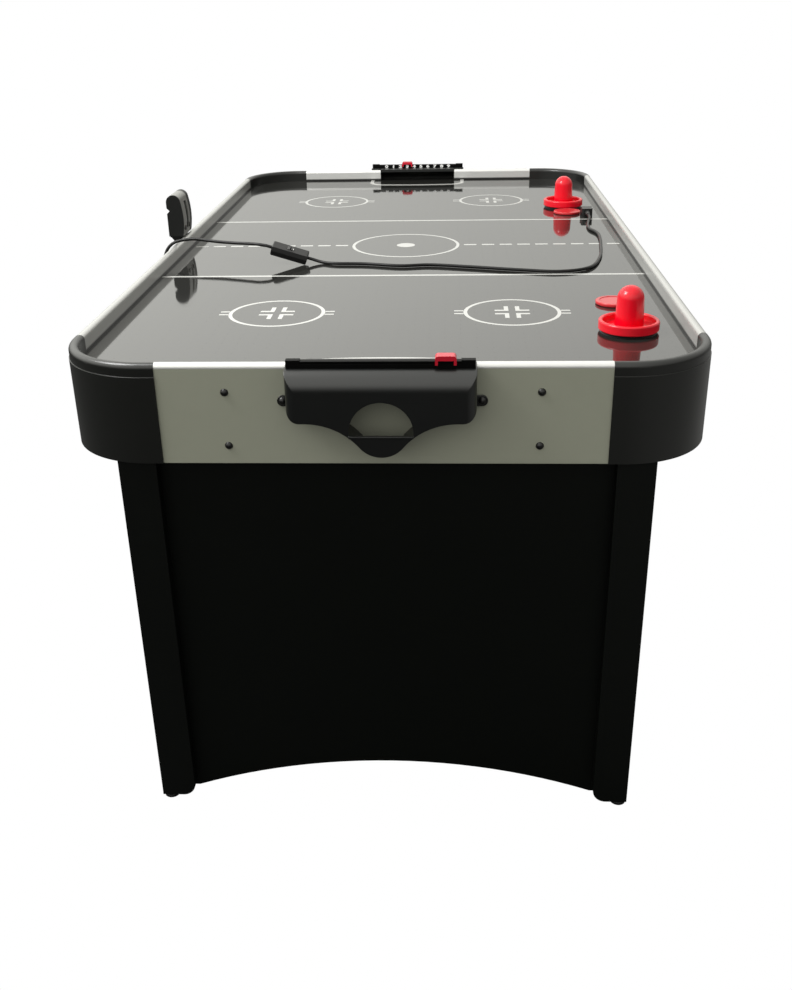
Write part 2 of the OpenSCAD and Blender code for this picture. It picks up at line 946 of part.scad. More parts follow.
// Score bar with a groove for the marker along its outer face and a raised stop at each end
module score_bar_front() {
    color([0.05, 0.05, 0.05]) {
        along_x(-bar_l / 2, bar_l / 2)
            difference() {
                bar_block(bar_h);
                translate([-bar_y1, bar_groove_z])
                    square([2 * bar_groove_d, bar_groove_h], center = true);
            }
        for (x = [-bar_l / 2, bar_l / 2 - bar_stop_l])
            along_x(x, x + bar_stop_l)
                bar_block(bar_h + bar_stop_h);
    }
}

module score_bar_rear() {
    at_rear()
        score_bar_front();
}

// Place of a score along the front bar, counted from the player's left hand
function score_x(score) = (4.5 - score) * score_pitch;

// Sliding score marker: a saddle that frames the score and clips into the bar's groove
module score_marker(score) {
    nib_h = bar_groove_h - 2 * marker_gap;
    y0 = -bar_y1 - marker_over;
    y1 = -bar_y0 + marker_over;
    half = marker_l / 2;
    translate([score_x(score), 0, 0]) {
        difference() {
            along_y(y0, y1) {
                translate([-half, marker_z0])
                    square([marker_l, marker_z1 - marker_r - marker_z0]);
                translate([-half + marker_r, marker_z0])
                    square([marker_l - 2 * marker_r, marker_z1 - marker_z0]);
                for (x = [-half + marker_r, half - marker_r])
                    translate([x, marker_z1 - marker_r])
                        circle(marker_r);
            }
            translate([-marker_l, -bar_y1 - marker_gap, marker_z0 - over])
                cube([2 * marker_l, bar_t + 2 * marker_gap, bar_z1 + marker_gap - marker_z0 + over]);
            translate([-half + marker_foot_t, y0 - over, marker_z0 - over])
                cube([marker_l - 2 * marker_foot_t, y1 - y0 + 2 * over, marker_z1 - marker_roof_t - marker_z0 + over]);
        }
        for (x = [-1, 1])
            translate([x * (marker_l - marker_foot_t) / 2, -bar_y1 - marker_gap, bar_groove_z])
                cube([marker_foot_t, 2 * (bar_groove_d - marker_gap), nib_h], center = true);
    }
}

module score_marker_front() {
    color("crimson")
        score_marker(front_score);
}

module score_marker_rear() {
    color("crimson")
        at_rear()
            score_marker(rear_score);
}

// Every pan-head screw: end boards, goal covers and the scorer's bracket
module pan_screws() {
    color([0.04, 0.04, 0.04]) {
        for (turn = [0, 180])
            rotate([0, 0, turn]) {
                each_apron_screw()
                    pan_screw(screw_l);
                each_goal_screw(ear_t)
                    pan_screw(ear_t + apron_t - 3);
            }
        each_bracket_screw(bracket_t)
            pan_screw(bracket_t + apron_t - 3);
    }
}

// Leg at the front right corner: an angle of two boards with a rounded toe
module leg() {
    top = floor_z0;
    difference() {
        union() {
            along_y(-leg_y1, -leg_y1 + leg_t)
                difference() {
                    translate([leg_x0, leg_lift])
                        square([leg_w, top - leg_lift]);
                    difference() {
                        translate([leg_x0 - over, leg_lift - over])
                            square(leg_toe_r + over);
                        translate([leg_x0 + leg_toe_r, leg_lift + leg_toe_r])
                            circle(leg_toe_r);
                    }
                }
            translate([leg_x1 - leg_t, -leg_y1, leg_lift])
                cube([leg_t, leg_d, top - leg_lift]);
        }
        translate([leg_x1 - foot_in, -leg_y1 + foot_in, leg_lift - over])
            cylinder(r = stud_d / 2 + pin_gap, h = stud_l + 2 * over);
        each_leg_bolt()
            bolt_hole();
    }
}

module leg_front_right() {
    color([0.07, 0.07, 0.07])
        leg();
}

module leg_front_left() {
    color([0.07, 0.07, 0.07])
        mirror([1, 0, 0])
            leg();
}

module leg_rear_right() {
    color([0.07, 0.07, 0.07])
        mirror([0, 1, 0])
            leg();
}

module leg_rear_left() {
    color([0.07, 0.07, 0.07])
        at_rear()
            leg();
}

// End panel behind the legs, with a low arch cut in its lower edge
module end_panel_front() {
    half = leg_x0 - arch_margin;
    rise = arch_z - panel_foot_z;
    r = (pow(half, 2) + pow(rise, 2)) / (2 * rise);
    color([0.05, 0.05, 0.05])
        difference() {
            along_y(-panel_y1, -panel_y0)
                difference() {
                    translate([-panel_x, panel_foot_z])
                        square([2 * panel_x, floor_z0 - panel_foot_z]);
                    translate([0, arch_z - r])
                        circle(r, $fn = 360);
                }
            each_leg_bolt()
                bolt_hole();
        }
}

module end_panel_rear() {
    at_rear()
        end_panel_front();
}

// Cleats between the end boards and the end panels
module end_cleats() {
    color("burlywood")
        for (turn = [0, 180])
            rotate([0, 0, turn])
                difference() {
                    translate([-leg_x0, -leg_y1, cleat_z0])
                        cube([2 * leg_x0, leg_t, cleat_h]);
                    each_apron_screw()
                        screw_hole(screw_l);
                }
}

module leg_bolts() {
    color("gray")
        for (turn = [0, 180])
            rotate([0, 0, turn])
                each_leg_bolt() {
                    cylinder(d = leg_bolt_d, h = bolt_l);
                    translate([0, 0, -bolt_head_h])
                        cylinder(r = bolt_head_r, h = bolt_head_h, $fn = 6);
                }
}

// Levelling foot at the front right: a pad, a neck and a stud that screws into the leg
module foot() {
    neck_h = leg_lift - foot_neck_gap - foot_pad_h;
    translate([leg_x1 - foot_in, -leg_y1 + foot_in, 0]) {
        rotate_extrude() {
            square([foot_d / 2, foot_pad_h - 1]);
            square([foot_d / 2 - 1, foot_pad_h]);
            translate([foot_d / 2 - 1, foot_pad_h - 1])
                quarter_disc(1, 1, 1);
        }
        translate([0, 0, foot_pad_h])
            cylinder(r = stud_d * 0.8, h = neck_h, $fn = 6);
        translate([0, 0, foot_pad_h])
            cylinder(d = stud_d, h = leg_lift - foot_pad_h + stud_l);
    }
}

module foot_front_right() {
    color([0.1, 0.1, 0.1])
        foot();
}

module foot_front_left() {
    color([0.1, 0.1, 0.1])
        mirror([1, 0, 0])
            foot();
}

module foot_rear_right() {
    color([0.1, 0.1, 0.1])
        mirror([0, 1, 0])
            foot();
}

module foot_rear_left() {
    color([0.1, 0.1, 0.1])
        at_rear()
            foot();
}

// Plan of the blower: a round drum with a duct that leaves it on a tangent, inset by d
module blower_plan(d) {
    circle(blower_r - d);
    translate([0, -blower_r + d])
        square([duct_l - d, duct_w - 2 * d]);
}

// Outlet of the duct, up through the air chamber's floor
module blower_outlet() {
    translate([duct_l - outlet_margin - outlet_l, -blower_r + outlet_margin])
        square([outlet_l, duct_w - 2 * outlet_margin]);
}

// Places of the blower's screws, with +Z up into the wood
module each_blower_screw() {
    for (a = blower_ears)
        rotate([0, 0, a])
            translate([blower_ear_pos, 0, 0])
                children();
}

// Upper shell of the blower, hung under the air chamber's floor by its ears
module blower_housing() {
    color([0.15, 0.15, 0.15])
        difference() {
            union() {
                translate([0, 0, blower_z0 + cover_t])
                    linear_extrude(blower_h - cover_t)
                        blower_plan(0);
                translate([0, 0, floor_z0 - blower_t])
                    linear_extrude(blower_t)
                        each_blower_screw()
                            circle(blower_ear_r);
            }
            translate([0, 0, blower_z0 - over])
                linear_extrude(blower_h - blower_t + over)
                    blower_plan(blower_t);
            translate([0, 0, blower_z0])
                linear_extrude(blower_h + over)
                    blower_outlet();
            translate([0, 0, blower_z0])
                cylinder(r = shaft_d / 2 + over, h = blower_h + over);
            translate([0, 0, floor_z0 - blower_t - over])
                each_blower_screw()
                    screw_hole(blower_t + 2 * over);
        }
}

// Lower cover of the blower with its intake grille of rings and spokes
module blower_cover() {
    bar_w = 3;
    color([0.13, 0.13, 0.13])
        translate([0, 0, blower_z0])
            linear_extrude(cover_t) {
                difference() {
                    blower_plan(0);
                    circle(intake_r);
                }
                for (r = [intake_pitch : intake_pitch : intake_r - bar_w])
                    difference() {
                        circle(r + bar_w / 2);
                        circle(r - bar_w / 2);
                    }
                for (a = [0 : 60 : 120])
                    rotate(a)
                        square([2 * intake_r + bar_w, bar_w], center = true);
            }
}

// Motor can above the air chamber's floor, on the blower's top plate
module fan_motor() {
    rim_h = 3;
    bearing_r = 9;
    color("silver")
        difference() {
            union() {
                translate([0, 0, motor_z0])
                    cylinder(r = motor_r + 2, h = rim_h);
                translate([0, 0, motor_z0])
                    cylinder(r = motor_r, h = motor_h - rim_h);
                translate([0, 0, motor_z0])
                    cylinder(r = bearing_r, h = motor_h);
            }
            translate([0, 0, motor_z0 - over])
                cylinder(r = shaft_d / 2 + pin_gap, h = motor_h - rim_h);
        }
}

// Drum fan with forward-curved blades between a disc and a ring
module fan() {
    blade_r = fan_r - fan_inner_r;
    color("dimgray")
        difference() {
            union() {
                translate([0, 0, fan_z1 - fan_disc_t])
                    cylinder(r = fan_r, h = fan_disc_t);
                translate([0, 0, fan_z1 - fan_disc_t - 14])
                    cylinder(r = hub_r, h = 14 + fan_disc_t);
                translate([0, 0, fan_z1 - fan_h])
                    linear_extrude(fan_ring_h)
                        difference() {
                            circle(fan_r);
                            circle(fan_inner_r);
                        }
                translate([0, 0, fan_z1 - fan_h + fan_ring_h])
                    linear_extrude(fan_h - fan_ring_h - fan_disc_t)
                        for (i = [0 : blade_count - 1])
                            rotate(i * 360 / blade_count)
                                translate([(fan_r + fan_inner_r) / 2, 0])
                                    intersection() {
                                        difference() {
                                            translate([0, -blade_r * 0.6])
                                                circle(blade_r * 0.75);
                                            translate([0, -blade_r * 0.6])
                                                circle(blade_r * 0.75 - blade_t);
                                        }
                                        translate([-blade_r / 2 + 1, -blade_r * 0.6])
                                            square([blade_r - 2, blade_r * 2]);
                                    }
            }
            translate([0, 0, fan_z1 - fan_h])
                cylinder(d = shaft_d, h = fan_h + over);
        }
}

module fan_shaft() {
    z0 = fan_z1 - fan_disc_t - 14;
    color("gray")
        translate([0, 0, z0])
            cylinder(d = shaft_d, h = motor_z0 + motor_h - 8 - z0);
}

module blower_screws() {
    color("gray")
        translate([0, 0, floor_z0 - blower_t])
            each_blower_screw()
                pan_screw(blower_t + floor_t - 0.5);
}

// Side outline of the scorer: a bowed front, a round top and a notch in its back
module scorer_outline() {
    difference() {
        intersection() {
            union() {
                translate([scorer_x0, scorer_z0])
                    square([2 * scorer_d, scorer_top_z - scorer_z0]);
                translate([scorer_x0 + scorer_top_r, scorer_top_z])
                    circle(scorer_top_r);
            }
            translate([bow_x, bow_z])
                circle(scorer_bow_r, $fn = 360);
        }
        translate([scorer_x0, scorer_notch_z])
            rotate(45)
                square(scorer_notch * sqrt(2), center = true);
    }
}

// The outline inside the frame: set back behind the front and the top, whole at the back
module scorer_core() {
    intersection() {
        scorer_outline();
        union() {
            translate([-bezel_t, -scorer_cap_t])
                scorer_outline();
            translate([scorer_x0, scorer_z0])
                square([frame_back, scorer_h]);
        }
    }
}

// Place of a scorer button, with +Z out of the front
module at_button(y) {
    translate([button_x, y, button_z])
        rotate([0, 90, 0])
            children();
}

module button_room() {
    translate([0, 0, -button_in - button_travel - button_gap])
        cylinder(r = button_d / 2 + button_gap, h = button_in + scorer_d);
}

module each_button() {
    for (y = [button_front_y, button_rear_y])
        at_button(y)
            children();
}

// Shell of the scorer, stepped back behind the frame between its two ends
module scorer_shell() {
    color([0.07, 0.07, 0.07])
        difference() {
            union() {
                along_y(-scorer_l / 2, scorer_l / 2)
                    scorer_core();
                along_y(-scorer_l / 2, frame_y0)
                    scorer_outline();
                along_y(frame_y1, scorer_l / 2)
                    scorer_outline();
            }
            each_button()
                button_room();
        }
}

// Silver frame over the scorer's top and front, with the display's window
module scorer_frame() {
    color("silver")
        difference() {
            along_y(frame_y0, frame_y1)
                difference() {
                    scorer_outline();
                    scorer_core();
                }
            translate([scorer_x0 + bezel_t, window_y, window_z0])
                cube([2 * scorer_d, window_l, window_h]);
            each_button()
                button_room();
        }
}

module scorer_window() {
    color([0.03, 0.03, 0.04])
        along_y(window_y + window_gap, window_y + window_l - window_gap)
            intersection() {
                translate([bow_x - bezel_t, bow_z - scorer_cap_t])
                    difference() {
                        translate([window_t, 0])
                            circle(scorer_bow_r, $fn = 360);
                        circle(scorer_bow_r, $fn = 360);
                    }
                translate([scorer_x0 + bezel_t, window_z0 + window_gap])
                    square([2 * scorer_d, window_h - 2 * window_gap]);
            }
}

module scorer_button(y) {
    color("dimgray")
        at_button(y)
            translate([0, 0, -button_in])
                cylinder(d = button_d, h = button_in + button_out);
}

module scorer_button_front() {
    scorer_button(button_front_y);
}

module scorer_button_rear() {
    scorer_button(button_rear_y);
}

// Bracket screwed to the side board, with a shelf and two gussets under the scorer
module scorer_bracket() {
    face_x = -apron_x1;
    gusset_t = 4;
    gusset_h = 24;
    shelf_d = face_x - scorer_x0;
    color([0.07, 0.07, 0.07])
        difference() {
            union() {
                translate([face_x - bracket_t, -bracket_l / 2, scorer_z0 - bracket_h])
                    cube([bracket_t, bracket_l, bracket_h]);
                translate([scorer_x0, -bracket_l / 2, scorer_z0 - shelf_t])
                    cube([shelf_d, bracket_l, shelf_t]);
                for (s = [-1, 1])
                    along_y(s * (bracket_l - gusset_t) / 2 - gusset_t / 2, s * (bracket_l - gusset_t) / 2 + gusset_t / 2)
                        polygon([[face_x - bracket_t / 2, scorer_z0 - shelf_t - gusset_h],
                                 [face_x - bracket_t / 2, scorer_z0 - shelf_t / 2],
                                 [scorer_x0 + 2, scorer_z0 - shelf_t / 2],
                                 [scorer_x0 + 2, scorer_z0 - shelf_t]]);
            }
            each_bracket_screw(bracket_t)
                translate([0, 0, -over])
                    screw_hole(bracket_t + 2 * over);
        }
}

// Sweep of a round lead along a route
function unit(v) = v / norm(v);
function blend(a, b, c, d, t) = (2 * b + (c - a) * t + (2 * a - 5 * b + 4 * c - d) * t * t
    + (3 * b - a - 3 * c + d) * t * t * t) / 2;
function smooth(r, n) = concat(
    [for (i = [0 : len(r) - 2])
        for (k = [0 : n - 1])
            blend(r[max(i - 1, 0)], r[i], r[i + 1], r[min(i + 2, len(r) - 1)], k / n)],
    [r[len(r) - 1]]);
function heading(p, i) = unit(p[min(i + 1, len(p) - 1)] - p[max(i - 1, 0)]);
function ring(p, i, side, r, n) =
    let (t = heading(p, i), u = unit(cross(side, t)), w = cross(t, u))
    [for (k = [0 : n - 1]) p[i] + r * (u * cos(k * 360 / n) + w * sin(k * 360 / n))];

module lead(path, side, sides = 10) {
    m = len(path);
    points = [for (i = [0 : m - 1]) each ring(path, i, side, cord_d / 2, sides)];
    walls = [for (i = [0 : m - 2])
        for (k = [0 : sides - 1])
            [i * sides + k, i * sides + (k + 1) % sides, (i + 1) * sides + (k + 1) % sides, (i + 1) * sides + k]];
    start = [for (k = [sides - 1 : -1 : 0]) k];
    end = [for (k = [0 : sides - 1]) (m - 1) * sides + k];
    polyhedron(points, concat([start], walls, [end]), convexity = 6);
}

module lead_to_switch() {
    color([0.05, 0.05, 0.05])
        lead(concat(smooth(lead_a, 3), [switch_end - switch_l * switch_axis]), [0, 1, 0]);
}

module lead_to_plug() {
    color([0.05, 0.05, 0.05])
        lead(concat([switch_end], smooth(lead_b, 4), [[plug_at[0], plug_at[1] - relief_l, plug_mid_z]]), [0, 0, 1]);
}

// Gland under the air chamber's floor, tapered toward the lead
module lead_gland() {
    color([0.08, 0.08, 0.08])
        translate([gland_at[0], gland_at[1], floor_z0])
            mirror([0, 0, 1])
                difference() {
                    union() {
                        cylinder(r = gland_r, h = gland_collar_h);
                        cylinder(r1 = gland_r * 0.7, r2 = cord_d / 2 + gland_wall, h = gland_h);
                    }
                    translate([0, 0, -over])
                        cylinder(d = cord_d, h = gland_h + 2 * over);
                }
}

// Frame of the leaning switch: +X runs back along it from the edge that rests on the playing surface
module at_switch() {
    translate([switch_at[0], switch_at[1], field_z + switch_seat])
        rotate([0, 0, 180])
            rotate([0, -switch_tilt, 0])
                rotate([-switch_roll, 0, 0])
                    children();
}

// Switch body, narrower at its top, with a round well for the rocker
module switch_body() {
    shoulder = switch_h * 0.55;
    half = switch_w / 2;
    color([0.06, 0.06, 0.06])
        at_switch()
            difference() {
                intersection() {
                    along_x(0, switch_l)
                        polygon([[-half, 0], [half, 0], [half, shoulder], [half - switch_edge, switch_h],
                                 [-half + switch_edge, switch_h], [-half, shoulder]]);
                    along_y(-switch_w, switch_w) {
                        translate([switch_edge, 0])
                            square([switch_l - 2 * switch_edge, switch_h]);
                        translate([0, switch_edge])
                            square([switch_l, switch_h - 2 * switch_edge]);
                        for (x = [switch_edge, switch_l - switch_edge])
                            for (z = [switch_edge, switch_h - switch_edge])
                                translate([x, z])
                                    circle(switch_edge);
                    }
                }
                at_rocker() {
                    cylinder(r = rocker_r + rocker_gap, h = rocker_w + 2 * rocker_gap, center = true);
                    cylinder(r = rocker_pin_r + pin_gap, h = rocker_w + 2 * (rocker_pin_l + rocker_gap), center = true);
                }
            }
}

// Place of the rocker's pins in the switch, with +Z along them
module at_rocker() {
    translate([switch_l / 2, 0, rocker_z])
        rotate([90, 0, 0])
            children();
}

// Rocker: a round-backed key with two shallow faces, on a pin at each side
module switch_rocker() {
    color("firebrick")
        at_switch()
            at_rocker() {
                linear_extrude(rocker_w, center = true)
                    intersection() {
                        circle(rocker_r);
                        union() {
                            rotate(rocker_lean)
                                translate([-2 * rocker_r, -2 * rocker_r])
                                    square([2 * rocker_r, 2 * rocker_r + rocker_top]);
                            rotate(-rocker_lean)
                                translate([0, -2 * rocker_r])
                                    square([2 * rocker_r, 2 * rocker_r + rocker_top]);
                        }
                    }
                cylinder(r = rocker_pin_r, h = rocker_w + 2 * rocker_pin_l, center = true);
            }
}

// Places of the plug's two blades
module each_blade() {
    for (s = [-1, 1])
        translate([s * blade_pitch / 2 - blade_th / 2, plug_l - blade_root, -blade_w / 2])
            children();
}

// Plug body with a waisted grip and a tapered strain relief
module plug_body() {
    color([0.05, 0.05, 0.05])
        translate([plug_at[0], plug_at[1], plug_mid_z])
            difference() {
                union() {
                    linear_extrude(plug_h, center = true)
                        difference() {
                            union() {
                                translate([-plug_w / 2, plug_edge])
                                    square([plug_w, plug_l - plug_edge]);
                                translate([-plug_w / 2 + plug_edge, 0])
                                    square([plug_w - 2 * plug_edge, 2 * plug_edge]);
                                for (s = [-1, 1])
                                    translate([s * (plug_w / 2 - plug_edge), plug_edge])
                                        circle(plug_edge);
                            }
                            for (s = [-1, 1])
                                translate([s * (plug_w / 2 + waist_r - waist_d), plug_l * 0.55])
                                    circle(waist_r);
                        }
                    rotate([90, 0, 0])
                        cylinder(r1 = relief_r, r2 = cord_d / 2 + relief_wall, h = relief_l);
                }
                each_blade()
                    cube([blade_th, blade_root + over, blade_w]);
            }
}

module plug_blades() {
    color("gold")
        translate([plug_at[0], plug_at[1], plug_mid_z])
            each_blade()
                cube([blade_th, blade_root + blade_l, blade_w]);
}

// Pusher: a rimmed dish with a domed, hollow handle
module pusher(at) {
    r = pusher_d / 2;
    rim_t = 7;
    dish_z = 9;
    wall = 3;
    top_r = handle_d / 2 - 2;
    dome_z = pusher_h - top_r;
    translate([at[0], at[1], glide_z])
        rotate_extrude()
            difference() {
                union() {
                    translate([0, felt_t])
                        square([r - 2, dish_z - felt_t]);
                    translate([r - rim_t, felt_t + 2])
                        square([rim_t, pusher_rim_h - rim_t / 2 - felt_t - 2]);
                    translate([r - 2, felt_t + 2])
                        quarter_disc(2, 1, -1);
                    translate([r - rim_t / 2, pusher_rim_h - rim_t / 2])
                        circle(rim_t / 2);
                    polygon([[0, felt_t], [handle_d / 2, felt_t], [handle_d / 2, dish_z], [top_r, dome_z], [0, dome_z]]);
                    translate([0, dome_z])
                        quarter_disc(top_r, 1, 1);
                }
                translate([0, -over])
                    square([handle_d / 2 - wall, dish_z + over]);
                polygon([[0, dish_z], [handle_d / 2 - wall, dish_z], [top_r - wall, dome_z], [0, dome_z]]);
                translate([0, dome_z])
                    quarter_disc(top_r - wall, 1, 1);
            }
}

module pusher_near() {
    color("crimson")
        pusher(pusher_near_at);
}

module pusher_far() {
    color("crimson")
        pusher(pusher_far_at);
}

// Felt ring glued under a pusher
module pusher_felt(at) {
    translate([at[0], at[1], glide_z])
        linear_extrude(felt_t)
            difference() {
                circle(pusher_d / 2 - 3);
                circle(handle_d / 2);
            }
}

module pusher_felt_near() {
    color([0.05, 0.05, 0.05])
        pusher_felt(pusher_near_at);
}

module pusher_felt_far() {
    color([0.05, 0.05, 0.05])
        pusher_felt(pusher_far_at);
}

// Puck: a disc with rounded edges and a shallow recess in both faces
module puck(at) {
    r = puck_d / 2;
    edge = puck_t / 3;
    recess = 0.8;
    translate([at[0], at[1], glide_z])
        rotate_extrude()
            difference() {
                union() {
                    square([r - edge, puck_t]);
                    translate([0, edge])
                        square([r, puck_t - 2 * edge]);
                    translate([r - edge, edge])
                        quarter_disc(edge, 1, -1);
                    translate([r - edge, puck_t - edge])
                        quarter_disc(edge, 1, 1);
                }
                square([r - 7, recess]);
                translate([0, puck_t - recess])
                    square([r - 7, recess + over]);
            }
}

module puck_near() {
    color("crimson")
        puck(puck_near_at);
}

module puck_far() {
    color("crimson")
        puck(puck_far_at);
}

playfield();
air_chamber_floor();
battens();
side_apron_left();
side_apron_right();
end_apron_front();
end_apron_rear();
corner_cap_front_left();
corner_cap_front_right();
corner_cap_rear_left();
corner_cap_rear_right();
side_rail_left();
side_rail_right();
end_rails();
goal_cover_front();
goal_cover_rear();
score_bar_front();
score_bar_rear();
score_marker_front();
score_marker_rear();
pan_screws();
leg_front_left();
leg_front_right();
leg_rear_left();
leg_rear_right();
end_panel_front();
end_panel_rear();
end_cleats();
leg_bolts();
foot_front_left();
foot_front_right();
foot_rear_left();
foot_rear_right();
blower_housing();
blower_cover();
fan_motor();
fan();
fan_shaft();
blower_screws();
scorer_bracket();
scorer_shell();
scorer_frame();
scorer_window();
scorer_button_front();
scorer_button_rear();
lead_gland();
lead_to_switch();
lead_to_plug();
switch_body();
switch_rocker();
plug_body();
plug_blades();
pusher_near();
pusher_far();
pusher_felt_near();
pusher_felt_far();
puck_near();
puck_far();
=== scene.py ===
"""Looks of an air hockey table, made round its CAD frame: finishes, markings, lead, camera and stage."""

import math

import bpy
from bpy.props import FloatProperty, FloatVectorProperty, IntProperty, PointerProperty
from mathutils import Matrix, Vector


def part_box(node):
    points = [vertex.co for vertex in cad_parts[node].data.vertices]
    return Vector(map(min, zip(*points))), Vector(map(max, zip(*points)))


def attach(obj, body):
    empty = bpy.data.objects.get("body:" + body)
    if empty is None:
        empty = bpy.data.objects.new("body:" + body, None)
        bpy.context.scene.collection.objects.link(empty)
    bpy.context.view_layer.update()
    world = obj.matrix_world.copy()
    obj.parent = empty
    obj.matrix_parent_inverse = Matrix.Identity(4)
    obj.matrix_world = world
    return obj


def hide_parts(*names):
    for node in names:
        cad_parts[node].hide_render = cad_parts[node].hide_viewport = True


bl_info = {
    "name": "Air Hockey Table",
    "version": (1, 0, 0),
    "blender": (4, 5, 0),
    "location": "View3D > Sidebar > Air Hockey",
    "description": "Finishes, printed markings, lead and studio for an air hockey table",
    "category": "Object",
}

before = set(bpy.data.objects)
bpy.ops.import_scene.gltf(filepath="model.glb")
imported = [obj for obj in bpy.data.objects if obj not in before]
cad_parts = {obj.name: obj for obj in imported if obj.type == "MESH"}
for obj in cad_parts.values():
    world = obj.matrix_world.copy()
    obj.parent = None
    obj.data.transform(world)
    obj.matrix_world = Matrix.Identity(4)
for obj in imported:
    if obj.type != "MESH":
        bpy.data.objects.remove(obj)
ROOT = "table"
CORNERS = ("front_left", "front_right", "rear_left", "rear_right")

# Places that the looks take from the frame
FIELD_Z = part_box("playfield")[1].z
RAIL_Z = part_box("side_rail_left")[1].z
RAIL_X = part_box("side_rail_right")[0].x
APRON_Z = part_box("side_apron_left")[0].z
FLOOR_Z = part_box("air_chamber_floor")[0].z
BAR_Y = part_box("score_bar_rear")[0].y

# Diameter of the lead
LEAD_D = 0.0065

# Heights that the painted shade at the foot of a rail fades out between; it stands in for the shadow gap
# where rail meets field
FOOT_SHADE_LOW = FIELD_Z + 0.003
FOOT_SHADE_HIGH = FIELD_Z + 0.006


# Settings


def srgb(r, g, b):
    """Colour of 0 to 255 sRGB values, in linear light."""
    def lin(v):
        v /= 255
        return v / 12.92 if v <= 0.04045 else ((v + 0.055) / 1.055) ** 2.4
    return lin(r), lin(g), lin(b), 1.0


PAINT = {"size": 4, "min": 0.0, "max": 1.0, "subtype": "COLOR"}


class CameraSettings(bpy.types.PropertyGroup):
    """Where the photograph was taken from"""

    place: FloatVectorProperty(
        name="Place", description="Camera position in the table's frame", size=3,
        default=(0.0965, -2.3685, 1.2765), subtype="XYZ", unit="LENGTH")
    pitch: FloatProperty(
        name="Pitch", description="Angle that the camera looks down by", default=0.4375, subtype="ANGLE")
    yaw: FloatProperty(
        name="Yaw", description="Angle that the camera is turned by, to the right", default=-0.0544,
        subtype="ANGLE")
    roll: FloatProperty(
        name="Roll", description="Angle that the camera leans by", default=-0.0196, subtype="ANGLE")
    lens: FloatProperty(
        name="Lens", description="Focal length for the sensor's long side", default=39.165, unit="CAMERA")
    sensor: FloatProperty(
        name="Sensor", description="Long side of the sensor", default=36.0, unit="CAMERA")
    clip: FloatVectorProperty(
        name="Clip", description="Nearest and farthest distance that the camera sees", size=2,
        default=(0.05, 50.0), unit="LENGTH")


class FieldSettings(bpy.types.PropertyGroup):
    """Sizes of the printed markings on the playing surface"""

    ink: FloatProperty(
        name="Ink", description="Thickness of the print", default=0.00008, unit="LENGTH")
    half_width: FloatProperty(
        name="Half width", description="Half the width between the rails", default=RAIL_X, unit="LENGTH")
    line_y: FloatProperty(
        name="Zone line", description="Distance of the zone lines from the middle", default=0.2765,
        unit="LENGTH")
    line_w: FloatProperty(
        name="Line width", description="Width of the straight lines", default=0.010, unit="LENGTH")
    ring_w: FloatProperty(
        name="Ring width", description="Width of the circles' lines", default=0.0065, unit="LENGTH")
    centre_r: FloatProperty(
        name="Centre circle", description="Outer radius of the centre circle", default=0.1172, unit="LENGTH")
    dot_r: FloatProperty(
        name="Centre spot", description="Radius of the centre spot", default=0.020, unit="LENGTH")
    dash_gap: FloatProperty(
        name="Dash gap", description="Distance of the first dash from the centre circle", default=0.010,
        unit="LENGTH")
    dash_l: FloatProperty(
        name="Dash", description="Length of a dash of the centre line", default=0.027, unit="LENGTH")
    dash_pitch: FloatProperty(
        name="Dash pitch", description="Distance from dash to dash", default=0.0387, unit="LENGTH")
    spot_x: FloatProperty(
        name="Circle across", description="Distance of the face-off circles from the centre line",
        default=0.2041, unit="LENGTH")
    spot_y: FloatProperty(
        name="Circle along", description="Distance of the face-off circles from the middle", default=0.546,
        unit="LENGTH")
    spot_r: FloatProperty(
        name="Face-off circle", description="Outer radius of a face-off circle", default=0.084, unit="LENGTH")
    tick_l: FloatProperty(
        name="Tick", description="Length of the ticks beside a face-off circle", default=0.016, unit="LENGTH")
    tick_w: FloatProperty(
        name="Tick width", description="Width of the ticks", default=0.006, unit="LENGTH")
    tick_y: FloatProperty(
        name="Tick place", description="Distance of the ticks from the circle's middle line", default=0.009,
        unit="LENGTH")
    mark_w: FloatProperty(
        name="Angle mark width", description="Width of the angle marks' legs", default=0.0075, unit="LENGTH")
    mark_near: FloatVectorProperty(
        name="Angle mark corner", description="Place of an angle mark's corner from the circle's middle",
        size=2, default=(0.006, 0.007), unit="LENGTH")
    mark_far: FloatVectorProperty(
        name="Angle mark ends", description="Places of an angle mark's two ends from the circle's middle",
        size=2, default=(0.030, 0.037), unit="LENGTH")
    crease_y: FloatProperty(
        name="Crease", description="Distance of the crease's front from the middle", default=0.8065,
        unit="LENGTH")
    crease_x: FloatProperty(
        name="Crease side", description="Distance of the crease's sides from the centre line", default=0.1308,
        unit="LENGTH")
    crease_w: FloatProperty(
        name="Crease width", description="Width of the crease's front line", default=0.018, unit="LENGTH")
    crease_bow: FloatProperty(
        name="Crease bow", description="Radius of the crease's bowed front", default=0.900, unit="LENGTH")
    crease_corner: FloatProperty(
        name="Crease corner", description="Radius of the crease's corners", default=0.040, unit="LENGTH")
    crease_steps: IntProperty(
        name="Crease steps", description="Points on half the crease's front, and on a corner", default=12,
        min=2)
    end_y: FloatProperty(
        name="Field end", description="Distance of the field's ends from the middle", default=0.897,
        unit="LENGTH")


